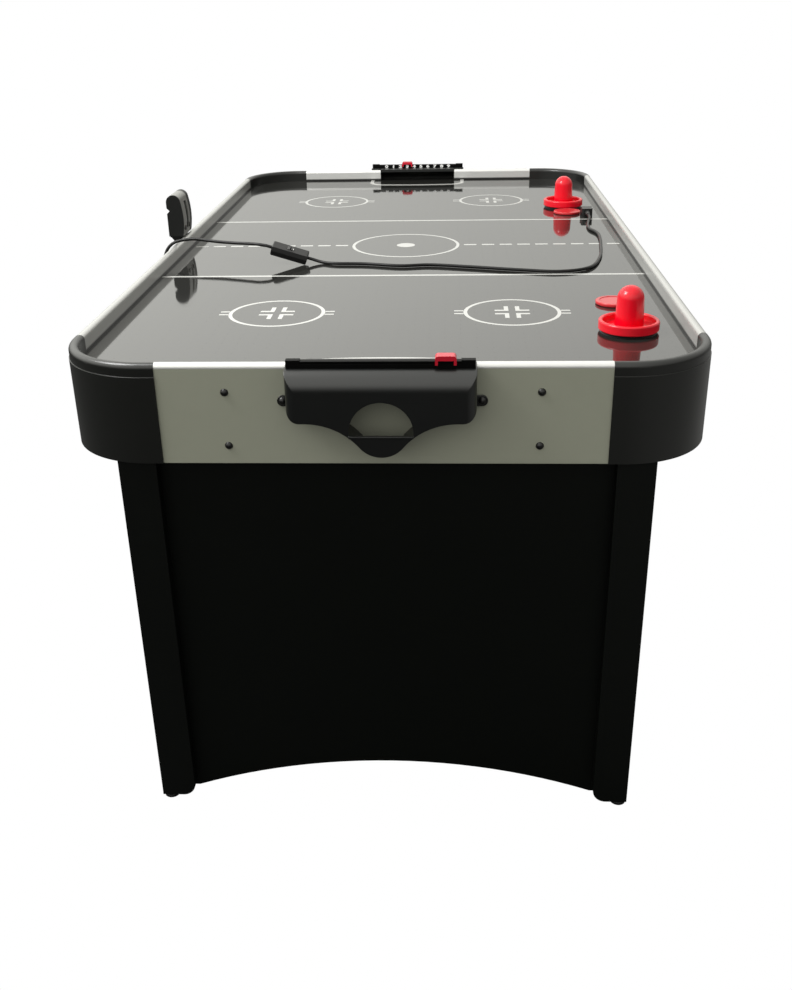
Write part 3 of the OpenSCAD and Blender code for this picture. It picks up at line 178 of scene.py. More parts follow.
class ScoreSettings(bpy.types.PropertyGroup):
    """Figures on the score bars"""

    count: IntProperty(
        name="Figures", description="How many figures a bar has, from 0 on", default=10, min=1, max=10)
    figure_h: FloatProperty(
        name="Figure height", description="Height of the score figures", default=0.0070, unit="LENGTH")
    font_share: FloatProperty(
        name="Font share", description="Height of a figure against the font's size", default=0.7)
    pitch: FloatProperty(
        name="Figure pitch", description="Distance from figure to figure", default=0.0203, unit="LENGTH")
    bold: FloatProperty(
        name="Figure weight", description="Extra thickness of the figures' strokes", default=0.0006,
        unit="LENGTH")
    wide: FloatProperty(
        name="Figure breadth", description="Breadth of the figures against the font's own", default=1.7)
    ink: FloatProperty(
        name="Ink", description="Thickness of the print", default=0.0001, unit="LENGTH")
    face_y: FloatProperty(
        name="Face", description="Distance of the bar's inner face from the middle", default=BAR_Y,
        unit="LENGTH")
    mid_z: FloatProperty(
        name="Height", description="Height of the figures' middle", default=0.80675, unit="LENGTH")


class LeadSettings(bpy.types.PropertyGroup):
    """The mains lead"""

    diameter: FloatProperty(
        name="Diameter", description="Diameter of the lead", default=LEAD_D, unit="LENGTH")
    steps: IntProperty(
        name="Steps", description="Points on the lead between two points of its route", default=8, min=2)


class ColourSettings(bpy.types.PropertyGroup):
    """Colours of the pieces that show"""

    field: FloatVectorProperty(
        name="Field", description="Playing surface", default=srgb(40, 40, 38), **PAINT)
    marking: FloatVectorProperty(
        name="Markings", description="Print on the playing surface", default=srgb(200, 200, 196), **PAINT)
    board: FloatVectorProperty(
        name="Boards", description="Side boards and end boards", default=srgb(168, 170, 154), **PAINT)
    cap: FloatVectorProperty(
        name="Corner caps", description="Corner caps", default=srgb(18, 19, 17), **PAINT)
    side_rail: FloatVectorProperty(
        name="Side rails", description="Rails along the sides", default=srgb(186, 186, 183), **PAINT)
    # Painted highlight: the end rails are the same aluminium as the side rails, painted paler to stand in for
    # their bright reflection
    end_rail: FloatVectorProperty(
        name="End rails", description="Rails beside the goals", default=srgb(220, 220, 218), **PAINT)
    goal: FloatVectorProperty(
        name="Goal covers", description="Goal covers", default=srgb(5, 7, 7), **PAINT)
    bar: FloatVectorProperty(
        name="Score bars", description="Score bars", default=srgb(5, 5, 5), **PAINT)
    figure: FloatVectorProperty(
        name="Score figures", description="Print on the score bars", default=srgb(250, 250, 248), **PAINT)
    marker: FloatVectorProperty(
        name="Score markers", description="Sliding score markers", default=srgb(214, 28, 52), **PAINT)
    leg: FloatVectorProperty(
        name="Legs", description="Boards of the legs", default=srgb(3, 5, 3), **PAINT)
    panel: FloatVectorProperty(
        name="End panels", description="Panels between the legs", default=srgb(4, 6, 4), **PAINT)
    scorer: FloatVectorProperty(
        name="Scorer", description="Shell and bracket of the scorer", default=srgb(16, 17, 16), **PAINT)
    pusher: FloatVectorProperty(
        name="Pushers", description="Pushers", default=srgb(236, 7, 36), **PAINT)
    puck: FloatVectorProperty(
        name="Pucks", description="Pucks", default=srgb(206, 46, 52), **PAINT)
    lead: FloatVectorProperty(
        name="Lead", description="Sheath of the mains lead", default=srgb(9, 9, 9), **PAINT)


class StageSettings(bpy.types.PropertyGroup):
    """Studio round the table"""

    diffuse_level: FloatProperty(
        name="Fill", description="Strength of the room's soft light", default=0.75)
    glossy_level: FloatProperty(
        name="Reflection", description="Strength of the room in reflections", default=1.68)
    side_slope: FloatProperty(
        name="Side slope", description="Change of the room's light from the middle to the right",
        default=-0.55)
    tint: FloatVectorProperty(
        name="Tint", description="Colour of the room's light", default=(1.0, 0.998, 0.945, 1.0), **PAINT)
    key_power: FloatProperty(
        name="Key", description="Power of the light over the table", default=65.0, unit="POWER")
    key_size: FloatProperty(
        name="Key size", description="Side of the light over the table", default=1.0, unit="LENGTH")
    key_place: FloatVectorProperty(
        name="Key place", description="Place of the light over the table", size=3,
        default=(-1.5, -0.85, 2.7), subtype="XYZ", unit="LENGTH")
    key_aim: FloatVectorProperty(
        name="Key aim", description="Point that the light over the table faces", size=3,
        default=(0.0, 0.0, 0.8), subtype="XYZ", unit="LENGTH")
    floor_half: FloatProperty(
        name="Floor", description="Half the side of the floor", default=12.0, unit="LENGTH")
    floor_drop: FloatProperty(
        name="Floor drop", description="Distance of the floor below the feet", default=0.0005, unit="LENGTH")


class TableSettings(bpy.types.PropertyGroup):
    """All settings of the air hockey table"""

    camera: PointerProperty(type=CameraSettings)
    field: PointerProperty(type=FieldSettings)
    score: PointerProperty(type=ScoreSettings)
    lead: PointerProperty(type=LeadSettings)
    colours: PointerProperty(type=ColourSettings)
    stage: PointerProperty(type=StageSettings)


def settings():
    return bpy.context.scene.air_hockey


# Shader helpers


def new_group(name, inputs, outputs):
    """Empty shader node group with the given (name, type, default) inputs and (name, type) outputs."""
    tree = bpy.data.node_groups.new(name, "ShaderNodeTree")
    for label, kind, value in inputs:
        tree.interface.new_socket(label, in_out="INPUT", socket_type=kind).default_value = value
    for label, kind in outputs:
        tree.interface.new_socket(label, in_out="OUTPUT", socket_type=kind)
    return tree, tree.nodes.new("NodeGroupInput"), tree.nodes.new("NodeGroupOutput")


def node(tree, kind, **values):
    """New node with attributes set, and inputs set where a key names a socket."""
    made = tree.nodes.new(kind)
    for key, value in values.items():
        if hasattr(made, key):
            setattr(made, key, value)
        else:
            made.inputs[key].default_value = value
    return made


def math_node(tree, operation, a, b=None, c=None, clamp=False):
    """Math node whose inputs are sockets or numbers; returns its output."""
    made = node(tree, "ShaderNodeMath", operation=operation, use_clamp=clamp)
    for i, value in enumerate((a, b, c)):
        if value is None:
            continue
        if isinstance(value, (int, float)):
            made.inputs[i].default_value = value
        else:
            tree.links.new(value, made.inputs[i])
    return made.outputs[0]


def mix_node(tree, data_type, factor, a, b):
    """Mix node whose inputs are sockets, numbers or colours; returns its output."""
    made = node(tree, "ShaderNodeMix", data_type=data_type)
    tree.links.new(factor, made.inputs["Factor"])
    for key, value in (("A", a), ("B", b)):
        if isinstance(value, bpy.types.NodeSocket):
            tree.links.new(value, made.inputs[key])
        else:
            made.inputs[key].default_value = value
    return made.outputs["Result"]


def object_coords(tree):
    return node(tree, "ShaderNodeTexCoord").outputs["Object"]


def mottle_group():
    """Slow brightness change over a face, centred on 1."""
    if "Mottle" in bpy.data.node_groups:
        return bpy.data.node_groups["Mottle"]
    tree, given, out = new_group(
        "Mottle", [("Scale", "NodeSocketFloat", 20.0), ("Amount", "NodeSocketFloat", 0.1)],
        [("Value", "NodeSocketFloat")])
    noise = node(tree, "ShaderNodeTexNoise", Detail=5.0, Roughness=0.6)
    tree.links.new(object_coords(tree), noise.inputs["Vector"])
    tree.links.new(given.outputs["Scale"], noise.inputs["Scale"])
    swing = math_node(tree, "MULTIPLY_ADD", noise.outputs[0], 2.0, -1.0)
    tree.links.new(math_node(tree, "MULTIPLY_ADD", swing, given.outputs["Amount"], 1.0), out.inputs[0])
    return tree


def grain_group():
    """Normal with fine grain and rounded edges."""
    if "Grain" in bpy.data.node_groups:
        return bpy.data.node_groups["Grain"]
    tree, given, out = new_group(
        "Grain",
        [("Scale", "NodeSocketFloat", 900.0), ("Strength", "NodeSocketFloat", 0.05),
         ("Edge", "NodeSocketFloat", 0.0008), ("Stretch", "NodeSocketVector", (1.0, 1.0, 1.0))],
        [("Normal", "NodeSocketVector")])
    scaled = node(tree, "ShaderNodeVectorMath", operation="MULTIPLY")
    tree.links.new(object_coords(tree), scaled.inputs[0])
    tree.links.new(given.outputs["Stretch"], scaled.inputs[1])
    noise = node(tree, "ShaderNodeTexNoise", Detail=3.0)
    tree.links.new(scaled.outputs[0], noise.inputs["Vector"])
    tree.links.new(given.outputs["Scale"], noise.inputs["Scale"])
    bevel = node(tree, "ShaderNodeBevel", samples=4)
    tree.links.new(given.outputs["Edge"], bevel.inputs["Radius"])
    bump = node(tree, "ShaderNodeBump", Distance=0.0005)
    tree.links.new(given.outputs["Strength"], bump.inputs["Strength"])
    tree.links.new(noise.outputs[0], bump.inputs["Height"])
    tree.links.new(bevel.outputs[0], bump.inputs["Normal"])
    tree.links.new(bump.outputs[0], out.inputs["Normal"])
    return tree


def wear_group():
    """Mask of smudges and fine scratches from handling."""
    if "Wear" in bpy.data.node_groups:
        return bpy.data.node_groups["Wear"]
    tree, given, out = new_group(
        "Wear", [("Scale", "NodeSocketFloat", 6.0), ("Cover", "NodeSocketFloat", 0.45)],
        [("Mask", "NodeSocketFloat")])
    coords = object_coords(tree)
    smudge = node(tree, "ShaderNodeTexNoise", Detail=6.0, Roughness=0.65, Distortion=0.6)
    tree.links.new(coords, smudge.inputs["Vector"])
    tree.links.new(given.outputs["Scale"], smudge.inputs["Scale"])
    streak_coords = node(tree, "ShaderNodeVectorMath", operation="MULTIPLY")
    streak_coords.inputs[1].default_value = (3.0, 90.0, 40.0)
    tree.links.new(coords, streak_coords.inputs[0])
    streak = node(tree, "ShaderNodeTexNoise", Detail=2.0)
    tree.links.new(streak_coords.outputs[0], streak.inputs["Vector"])
    tree.links.new(given.outputs["Scale"], streak.inputs["Scale"])
    both = math_node(tree, "MULTIPLY", smudge.outputs[0], streak.outputs[0])
    cover = math_node(tree, "MULTIPLY", given.outputs["Cover"], 0.5)
    tree.links.new(math_node(tree, "SUBTRACT", both, cover, clamp=True), out.inputs[0])
    return tree


def holes_group():
    """Mask of the playing surface's air holes, a square grid of small round dots."""
    if "Air Holes" in bpy.data.node_groups:
        return bpy.data.node_groups["Air Holes"]
    tree, given, out = new_group(
        "Air Holes", [("Pitch", "NodeSocketFloat", 0.0254), ("Radius", "NodeSocketFloat", 0.0006)],
        [("Mask", "NodeSocketFloat")])
    parts = node(tree, "ShaderNodeSeparateXYZ")
    tree.links.new(object_coords(tree), parts.inputs[0])
    squares = []
    for axis in (0, 1):
        cell = math_node(tree, "DIVIDE", parts.outputs[axis], given.outputs["Pitch"])
        offset = math_node(tree, "SUBTRACT", math_node(tree, "FRACT", cell), 0.5)
        away = math_node(tree, "MULTIPLY", offset, given.outputs["Pitch"])
        squares.append(math_node(tree, "POWER", away, 2.0))
    distance = math_node(tree, "SQRT", math_node(tree, "ADD", *squares))
    tree.links.new(math_node(tree, "LESS_THAN", distance, given.outputs["Radius"]), out.inputs[0])
    return tree


def height_group():
    """Mask that grows from 0 to 1 between two heights."""
    if "Height" in bpy.data.node_groups:
        return bpy.data.node_groups["Height"]
    tree, given, out = new_group(
        "Height", [("Low", "NodeSocketFloat", 0.0), ("High", "NodeSocketFloat", 1.0)],
        [("Mask", "NodeSocketFloat")])
    parts = node(tree, "ShaderNodeSeparateXYZ")
    tree.links.new(object_coords(tree), parts.inputs[0])
    ramp = node(tree, "ShaderNodeMapRange")
    tree.links.new(parts.outputs[2], ramp.inputs["Value"])
    tree.links.new(given.outputs["Low"], ramp.inputs["From Min"])
    tree.links.new(given.outputs["High"], ramp.inputs["From Max"])
    tree.links.new(ramp.outputs[0], out.inputs[0])
    return tree


def use(tree, group, **values):
    """Adds a node group to a material, with its inputs set."""
    made = tree.nodes.new("ShaderNodeGroup")
    made.node_tree = group
    for key, value in values.items():
        made.inputs[key].default_value = value
    return made


def finish(name, colour, roughness, specular=0.5, metallic=0.0, grain=(900.0, 0.05), stretch=(1, 1, 1),
           edge=0.0008, mottle=(20.0, 0.08), wear=(6.0, 0.45, 0.12)):
    """Material with mottled colour, worn gloss, fine grain and softened edges; returns it with its shader."""
    made = bpy.data.materials.new(name)
    made.use_nodes = True
    tree = made.node_tree
    tree.nodes.clear()
    out = tree.nodes.new("ShaderNodeOutputMaterial")
    shader = tree.nodes.new("ShaderNodeBsdfPrincipled")
    tree.links.new(shader.outputs[0], out.inputs[0])
    shader.inputs["Base Color"].default_value = colour
    shader.inputs["Metallic"].default_value = metallic
    shader.inputs["Specular IOR Level"].default_value = specular
    tone = use(tree, mottle_group(), Scale=mottle[0], Amount=mottle[1])
    shade = node(tree, "ShaderNodeMix", data_type="RGBA", blend_type="MULTIPLY")
    shade.inputs["Factor"].default_value = 1.0
    shade.inputs["A"].default_value = colour
    tree.links.new(tone.outputs[0], shade.inputs["B"])
    tree.links.new(shade.outputs["Result"], shader.inputs["Base Color"])
    worn = use(tree, wear_group(), Scale=wear[0], Cover=wear[1])
    gloss = math_node(tree, "MULTIPLY_ADD", worn.outputs[0], wear[2], roughness)
    tree.links.new(gloss, shader.inputs["Roughness"])
    surface = use(tree, grain_group(), Scale=grain[0], Strength=grain[1], Edge=edge)
    surface.inputs["Stretch"].default_value = stretch
    tree.links.new(surface.outputs["Normal"], shader.inputs["Normal"])
    return made, shader


def source(shader, key):
    """Socket that feeds an input of a shader."""
    return shader.inputs[key].links[0].from_socket


def let_light_in(shader, weight, radius):
    """Lets light a little way into a plastic."""
    shader.inputs["Subsurface Weight"].default_value = weight
    shader.inputs["Subsurface Radius"].default_value = radius


# Mesh helpers


def dress(material, *names):
    """Gives CAD nodes their material."""
    for name in names:
        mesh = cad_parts[name].data
        mesh.materials.clear()
        mesh.materials.append(material)


def add_mesh(name, verts, faces, material, body=ROOT):
    """New mesh piece that rides on a body."""
    mesh = bpy.data.meshes.new(name)
    mesh.from_pydata(verts, [], faces)
    mesh.update()
    mesh.materials.append(material)
    piece = bpy.data.objects.new(name, mesh)
    bpy.context.scene.collection.objects.link(piece)
    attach(piece, body)
    return piece


def round_points(x, y, radius, count):
    """Points of a circle."""
    turns = [math.tau * i / count for i in range(count)]
    return [(x + radius * math.cos(a), y + radius * math.sin(a)) for a in turns]


class Print:
    """Flat figures on one plane, gathered into one mesh."""

    def __init__(self, z):
        self.z = z
        self.verts = []
        self.faces = []

    def strip(self, inner, outer, closed=False):
        """Band between two rows of points."""
        first = len(self.verts)
        count = len(inner)
        self.verts += [(x, y, self.z) for x, y in inner] + [(x, y, self.z) for x, y in outer]
        for i in range(count if closed else count - 1):
            k = (i + 1) % count
            self.faces.append((first + i, first + k, first + count + k, first + count + i))

    def line(self, points):
        """Line along a row of points, each with the line's width there."""
        rows = ([], [])
        for i, (x, y, width) in enumerate(points):
            ahead = Vector(points[min(i + 1, len(points) - 1)]) - Vector(points[max(i - 1, 0)])
            side = Vector((-ahead.y, ahead.x)).normalized() * width / 2
            rows[0].append((x + side.x, y + side.y))
            rows[1].append((x - side.x, y - side.y))
        self.strip(*rows)

    def box(self, xs, ys):
        """Rectangle between two places across and two along, in any order."""
        x0, x1 = sorted(xs)
        y0, y1 = sorted(ys)
        first = len(self.verts)
        self.verts += [(x0, y0, self.z), (x1, y0, self.z), (x1, y1, self.z), (x0, y1, self.z)]
        self.faces.append((first, first + 1, first + 2, first + 3))

    def ring(self, x, y, radius, width, count=96):
        """Circle's line, inside its outer radius."""
        self.strip(round_points(x, y, radius, count), round_points(x, y, radius - width, count), closed=True)

    def disc(self, x, y, radius, count=48):
        first = len(self.verts)
        self.verts += [(u, v, self.z) for u, v in round_points(x, y, radius, count)]
        self.faces.append(tuple(range(first, first + count)))


# Route of the lead, from the table's own CAD, with an easier bend over the left rail
GLIDE_GAP = 0.0003
LEAD_Z = FIELD_Z + GLIDE_GAP + LEAD_D / 2
LEAD_RUN = 0.012
GLAND = Vector((-0.420, -0.100, FLOOR_Z - 0.022))
SWITCH_L = 0.075
SWITCH_W = 0.030
SWITCH_H = 0.018
SWITCH_EDGE = 0.003
SWITCH_TILT = math.radians(17)
SWITCH_ROLL = math.radians(16)
SWITCH_LIE = math.cos(SWITCH_TILT) * math.cos(SWITCH_ROLL)
SWITCH_ROUND = SWITCH_LIE + math.sin(SWITCH_TILT) - math.hypot(SWITCH_LIE, math.sin(SWITCH_TILT))
SWITCH_DIP = SWITCH_W / 2 * math.sin(SWITCH_ROLL) * math.cos(SWITCH_TILT)
SWITCH_SEAT = GLIDE_GAP + SWITCH_DIP - SWITCH_EDGE * SWITCH_ROUND
SWITCH_AXIS = Vector((math.cos(SWITCH_TILT), 0, -math.sin(SWITCH_TILT)))
SWITCH_UP = Vector((math.cos(SWITCH_ROLL) * math.sin(SWITCH_TILT), -math.sin(SWITCH_ROLL), SWITCH_LIE))
SWITCH_SIDE = SWITCH_AXIS.cross(SWITCH_UP)
SWITCH_FOOT = Vector((-0.198, -0.167, FIELD_Z + SWITCH_SEAT))
SWITCH_END = SWITCH_FOOT + SWITCH_H / 2 * SWITCH_UP
SWITCH_FAR = SWITCH_END - SWITCH_L * SWITCH_AXIS
PLUG_IN = Vector((0.428, 0.276, FIELD_Z + 0.010))
LEAD_TO_SWITCH = [
    (-0.420, -0.100, FLOOR_Z - 0.034), (-0.428, -0.100, APRON_Z + 0.002), (-0.446, -0.101, APRON_Z - 0.020),
    (-0.474, -0.103, APRON_Z - 0.028), (-0.496, -0.106, APRON_Z - 0.016), (-0.504, -0.109, APRON_Z + 0.012),
    (-0.506, -0.112, APRON_Z + 0.050), (-0.507, -0.115, APRON_Z + 0.090), (-0.506, -0.117, RAIL_Z - 0.030),
    (-0.500, -0.115, RAIL_Z - 0.0105), (-0.488, -0.112, RAIL_Z + 0.0025), (-0.470, -0.111, RAIL_Z + 0.009),
    (-0.440, -0.116, FIELD_Z + 0.041), (-0.410, -0.127, FIELD_Z + 0.040), (-0.380, -0.138, FIELD_Z + 0.039),
    (-0.350, -0.149, FIELD_Z + 0.039), (-0.322, -0.158, FIELD_Z + 0.0395), (-0.299, -0.166, FIELD_Z + 0.0395),
    tuple(SWITCH_FAR - LEAD_RUN * SWITCH_AXIS),
]
LEAD_TO_PLUG = [
    tuple(SWITCH_END + LEAD_RUN * SWITCH_AXIS),
    (-0.163, -0.175, LEAD_Z), (-0.136, -0.186, LEAD_Z), (-0.076, -0.191, LEAD_Z), (-0.004, -0.210, LEAD_Z),
    (0.057, -0.204, LEAD_Z), (0.136, -0.223, LEAD_Z), (0.234, -0.252, LEAD_Z), (0.311, -0.267, LEAD_Z),
    (0.372, -0.235, LEAD_Z), (0.404, -0.143, LEAD_Z), (0.420, -0.028, LEAD_Z), (0.428, 0.057, LEAD_Z),
    (0.427, 0.104, LEAD_Z), (0.417, 0.142, LEAD_Z), (0.416, 0.179, LEAD_Z), (0.421, 0.218, LEAD_Z + 0.001),
    (0.427, 0.246, LEAD_Z + 0.004), (0.428, 0.264, FIELD_Z + 0.010),
]

# White dash on the rocker, from the rocker's pivot
ROCKER_LEAN = math.radians(10)
ROCKER_PIVOT = 0.005
DASH_ALONG = (-0.0054, -0.0040)
DASH_HALF = 0.0025
DASH_UP = 0.00655


def switch_point(along, across, up):
    """Point of the leaning switch, from the middle of its lower end."""
    return SWITCH_FOOT - along * SWITCH_AXIS + across * SWITCH_SIDE + up * SWITCH_UP


def smooth_route(points, steps):
    """Points of a smooth line through the route's points."""
    pts = [Vector(p) for p in points]
    last = len(pts) - 1
    line = []
    for i in range(last):
        a, b, c, d = pts[max(i - 1, 0)], pts[i], pts[i + 1], pts[min(i + 2, last)]
        for k in range(steps):
            t = k / steps
            line.append((2 * b + (c - a) * t + (2 * a - 5 * b + 4 * c - d) * t * t
                         + (3 * b - a - 3 * c + d) * t ** 3) / 2)
    return line + [pts[last]]


# Operators


class AIRHOCKEY_OT_camera(bpy.types.Operator):
    """Set the camera where the photograph was taken from"""

    bl_idname = "airhockey.camera"
    bl_label = "Set Camera"

    def execute(self, context):
        given = settings().camera
        cp, sp = math.cos(given.pitch), math.sin(given.pitch)
        cy, sy = math.cos(given.yaw), math.sin(given.yaw)
        ahead = Vector((sy * cp, cy * cp, -sp))
        level = Vector((cy, -sy, 0.0))
        above = level.cross(ahead)
        right = math.cos(given.roll) * level + math.sin(given.roll) * above
        up = math.cos(given.roll) * above - math.sin(given.roll) * level
        turn = Matrix((right, up, -ahead)).transposed()
        data = bpy.data.cameras.new("camera")
        data.sensor_fit = "AUTO"
        data.sensor_width = given.sensor
        data.lens = given.lens
        data.clip_start, data.clip_end = given.clip
        camera = bpy.data.objects.new("camera", data)
        camera.matrix_world = Matrix.Translation(Vector(given.place)) @ turn.to_4x4()
        context.scene.collection.objects.link(camera)
        context.scene.camera = camera
        context.scene.view_settings.view_transform = "Standard"
        context.scene.view_settings.look = "None"
        return {"FINISHED"}


class AIRHOCKEY_OT_lead(bpy.types.Operator):
    """Lay the mains lead from its gland to the switch, and on to the plug"""

    bl_idname = "airhockey.lead"
    bl_label = "Lay Lead"

    def lay(self, name, line, material, stands_for):
        """Round lead along a line of points; returns it with its length."""
        curve = bpy.data.curves.new(name, "CURVE")
        curve.dimensions = "3D"
        curve.bevel_depth = settings().lead.diameter / 2
        curve.bevel_resolution = 5
        curve.use_fill_caps = True
        spline = curve.splines.new("POLY")
        spline.points.add(len(line) - 1)
        for point, place in zip(spline.points, line):
            point.co = (*place, 1.0)
        spline.use_smooth = True
        curve.materials.append(material)
        piece = bpy.data.objects.new(name, curve)
        bpy.context.scene.collection.objects.link(piece)
        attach(piece, ROOT)
        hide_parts(stands_for)
        length = sum((b - a).length for a, b in zip(line, line[1:]))
        return piece, length

    def rocker_mark(self):
        """White dash on the rocker's lower face."""
        white, _ = finish("rocker_mark", srgb(225, 225, 222), 0.45, 0.3, edge=0.0)
        low, high = DASH_ALONG
        corners = []
        for along, across in ((low, -DASH_HALF), (high, -DASH_HALF), (high, DASH_HALF), (low, DASH_HALF)):
            x = along * math.cos(ROCKER_LEAN) - DASH_UP * math.sin(ROCKER_LEAN)
            z = along * math.sin(ROCKER_LEAN) + DASH_UP * math.cos(ROCKER_LEAN)
            corners.append(switch_point(SWITCH_L / 2 + x, across, SWITCH_H - ROCKER_PIVOT + z))
        piece = add_mesh("rocker_mark", corners, [(0, 1, 2, 3)], white, "switch_rocker")
        return piece

    def execute(self, context):
        given = settings().lead
        sheath, _ = finish("lead_sheath", settings().colours.lead, 0.38, 0.25, grain=(1400.0, 0.04),
                           edge=0.0002)
        moulded, _ = finish("switch_moulding", srgb(13, 13, 13), 0.42, 0.35, grain=(1600.0, 0.08),
                            edge=0.0006)
        rocker, _ = finish("rocker_moulding", srgb(30, 30, 30), 0.25, 0.5, grain=(1200.0, 0.02), edge=0.0005)
        brass, _ = finish("blade_plating", srgb(214, 190, 140), 0.28, metallic=1.0, grain=(700.0, 0.03))
        dress(sheath, "lead_gland", "lead_to_switch", "lead_to_plug")
        dress(moulded, "switch_body", "plug_body")
        dress(rocker, "switch_rocker")
        dress(brass, "plug_blades")
        mark = self.rocker_mark()
        line = [GLAND] + smooth_route(LEAD_TO_SWITCH, given.steps) + [SWITCH_FAR]
        piece, length = self.lay("lead_gland_to_switch", line, sheath, "lead_to_switch")
        line = [SWITCH_END] + smooth_route(LEAD_TO_PLUG, given.steps) + [PLUG_IN]
        piece, length = self.lay("lead_switch_to_plug", line, sheath, "lead_to_plug")
        return {"FINISHED"}


class AIRHOCKEY_OT_field(bpy.types.Operator):
    """Finish the playing surface and print its markings"""

    bl_idname = "airhockey.field"
    bl_label = "Finish Field"

    def laminate(self):
        """Glossy laminate with dull air holes, drawn near-black as painted shade inside the holes."""
        made, shader = finish("field_laminate", settings().colours.field, 0.05, 0.5, grain=(2500.0, 0.002),
                              edge=0.0003, mottle=(3.0, 0.05), wear=(2.2, 0.5, 0.10))
        tree = made.node_tree
        mask = use(tree, holes_group()).outputs[0]
        # Painted shade: each air hole is a near-black dot standing in for the shade inside the hole
        dark = mix_node(tree, "RGBA", mask, source(shader, "Base Color"), (0.002, 0.002, 0.002, 1.0))
        tree.links.new(dark, shader.inputs["Base Color"])
        dull = math_node(tree, "MAXIMUM", source(shader, "Roughness"), mask)
        tree.links.new(dull, shader.inputs["Roughness"])
        return made

    def execute(self, context):
        given = settings().field
        dress(self.laminate(), "playfield")
        ink, _ = finish("printed_white", settings().colours.marking, 0.12, 0.5, grain=(2500.0, 0.004),
                        edge=0.0, mottle=(8.0, 0.03), wear=(2.2, 0.5, 0.2))
        flat = Print(FIELD_Z + given.ink)
        half = given.line_w / 2
        for s in (-1, 1):
            y = s * given.line_y
            flat.box((-given.half_width, given.half_width), (y - half, y + half))
            flat.line([(u, s * v, width) for u, v, width in self.crease()])
        flat.ring(0, 0, given.centre_r, given.ring_w)
        flat.disc(0, 0, given.dot_r)
        x = given.centre_r + given.dash_gap
        while x + given.dash_l < given.half_width:
            for s in (-1, 1):
                flat.box((s * x, s * (x + given.dash_l)), (-half, half))
            x += given.dash_pitch
        for sx in (-1, 1):
            for sy in (-1, 1):
                self.spot(flat, sx * given.spot_x, sy * given.spot_y)
        piece = add_mesh("field_markings", flat.verts, flat.faces, ink)
        return {"FINISHED"}

    def crease(self):
        """Middle line of the far goal's crease, with its width: thin sides, round corners and a bold bow."""
        given = settings().field
        steps = given.crease_steps
        corner_x = given.crease_x - given.crease_corner
        tilt = math.asin(corner_x / (given.crease_bow - given.crease_corner))
        bow = []
        for i in range(steps + 1):
            a = tilt * i / steps
            y = given.crease_y + given.crease_bow * (1 - math.cos(a))
            bow.append((given.crease_bow * math.sin(a), y, given.crease_w))
        corner_y = bow[-1][1] + given.crease_corner * math.cos(tilt)
        turn = []
        for i in range(1, steps + 1):
            a = tilt + (math.pi / 2 - tilt) * i / steps
            width = given.crease_w + (given.line_w - given.crease_w) * i / steps
            turn.append((corner_x + given.crease_corner * math.sin(a),
                         corner_y - given.crease_corner * math.cos(a), width))
        half = bow + turn + [(given.crease_x, given.end_y, given.line_w)]
        return [(-x, y, width) for x, y, width in reversed(half[1:])] + half

    def spot(self, flat, x, y):
        """Face-off circle with its side ticks and four angle marks."""
        given = settings().field
        flat.ring(x, y, given.spot_r, given.ring_w)
        tick = given.tick_w / 2
        near_x, near_y = given.mark_near
        far_x, far_y = given.mark_far
        inner = near_x + given.mark_w
        for s in (-1, 1):
            for dy in (-given.tick_y, given.tick_y):
                flat.box((x + s * given.spot_r, x + s * (given.spot_r + given.tick_l)),
                         (y + dy - tick, y + dy + tick))
            for t in (-1, 1):
                flat.box((x + s * near_x, x + s * inner), (y + t * near_y, y + t * far_y))
                flat.box((x + s * inner, x + s * far_x), (y + t * near_y, y + t * (near_y + given.mark_w)))


class AIRHOCKEY_OT_cabinet(bpy.types.Operator):
    """Finish the boards, the corner caps, the rails and the air chamber"""

    bl_idname = "airhockey.cabinet"
    bl_label = "Finish Cabinet"

    def rail(self, name, colour):
        """Satin aluminium with painted shade along its foot, a dark band standing in for the shadow gap at
        the field.
        """
        made, shader = finish(name, colour, 0.34, metallic=0.45, grain=(1500.0, 0.03),
                              stretch=(1.0, 0.02, 1.0), edge=0.0006, mottle=(30.0, 0.03))
        tree = made.node_tree
        # Painted shade: a dark band at the rail's foot stands in for the shadow gap between rail and field
        step = use(tree, height_group(), Low=FOOT_SHADE_LOW, High=FOOT_SHADE_HIGH)
        shade = mix_node(tree, "RGBA", step.outputs[0], srgb(40, 40, 40), source(shader, "Base Color"))
        tree.links.new(shade, shader.inputs["Base Color"])
        return made

    def execute(self, context):
        given = settings().colours
        silver, _ = finish("silver_board", given.board, 0.5, 0.3, grain=(1800.0, 0.03),
                           stretch=(0.08, 1.0, 1.0), edge=0.0004, mottle=(60.0, 0.03))
        dress(silver, "side_apron_left", "side_apron_right", "end_apron_front", "end_apron_rear")
        cap, _ = finish("cap_plastic", given.cap, 0.30, 0.50, grain=(1300.0, 0.10), edge=0.0008,
                        mottle=(14.0, 0.10))
        dress(cap, *("corner_cap_" + corner for corner in CORNERS))
        dress(self.rail("rail_aluminium", given.side_rail), "side_rail_left", "side_rail_right")
        # Painted highlight: the end rails get a paler copy of the rail aluminium in place of their bright
        # reflection
        dress(self.rail("end_rail_aluminium_painted_highlight", given.end_rail), "end_rails")
        hardboard, _ = finish("hardboard", srgb(122, 88, 60), 0.75, 0.2, grain=(1000.0, 0.2),
                              mottle=(90.0, 0.2))
        dress(hardboard, "air_chamber_floor")
        pine, _ = finish("sawn_pine", srgb(196, 160, 112), 0.7, 0.25, grain=(260.0, 0.15),
                         stretch=(1.0, 0.06, 1.0), mottle=(24.0, 0.22))
        dress(pine, "battens", "end_cleats")
        return {"FINISHED"}


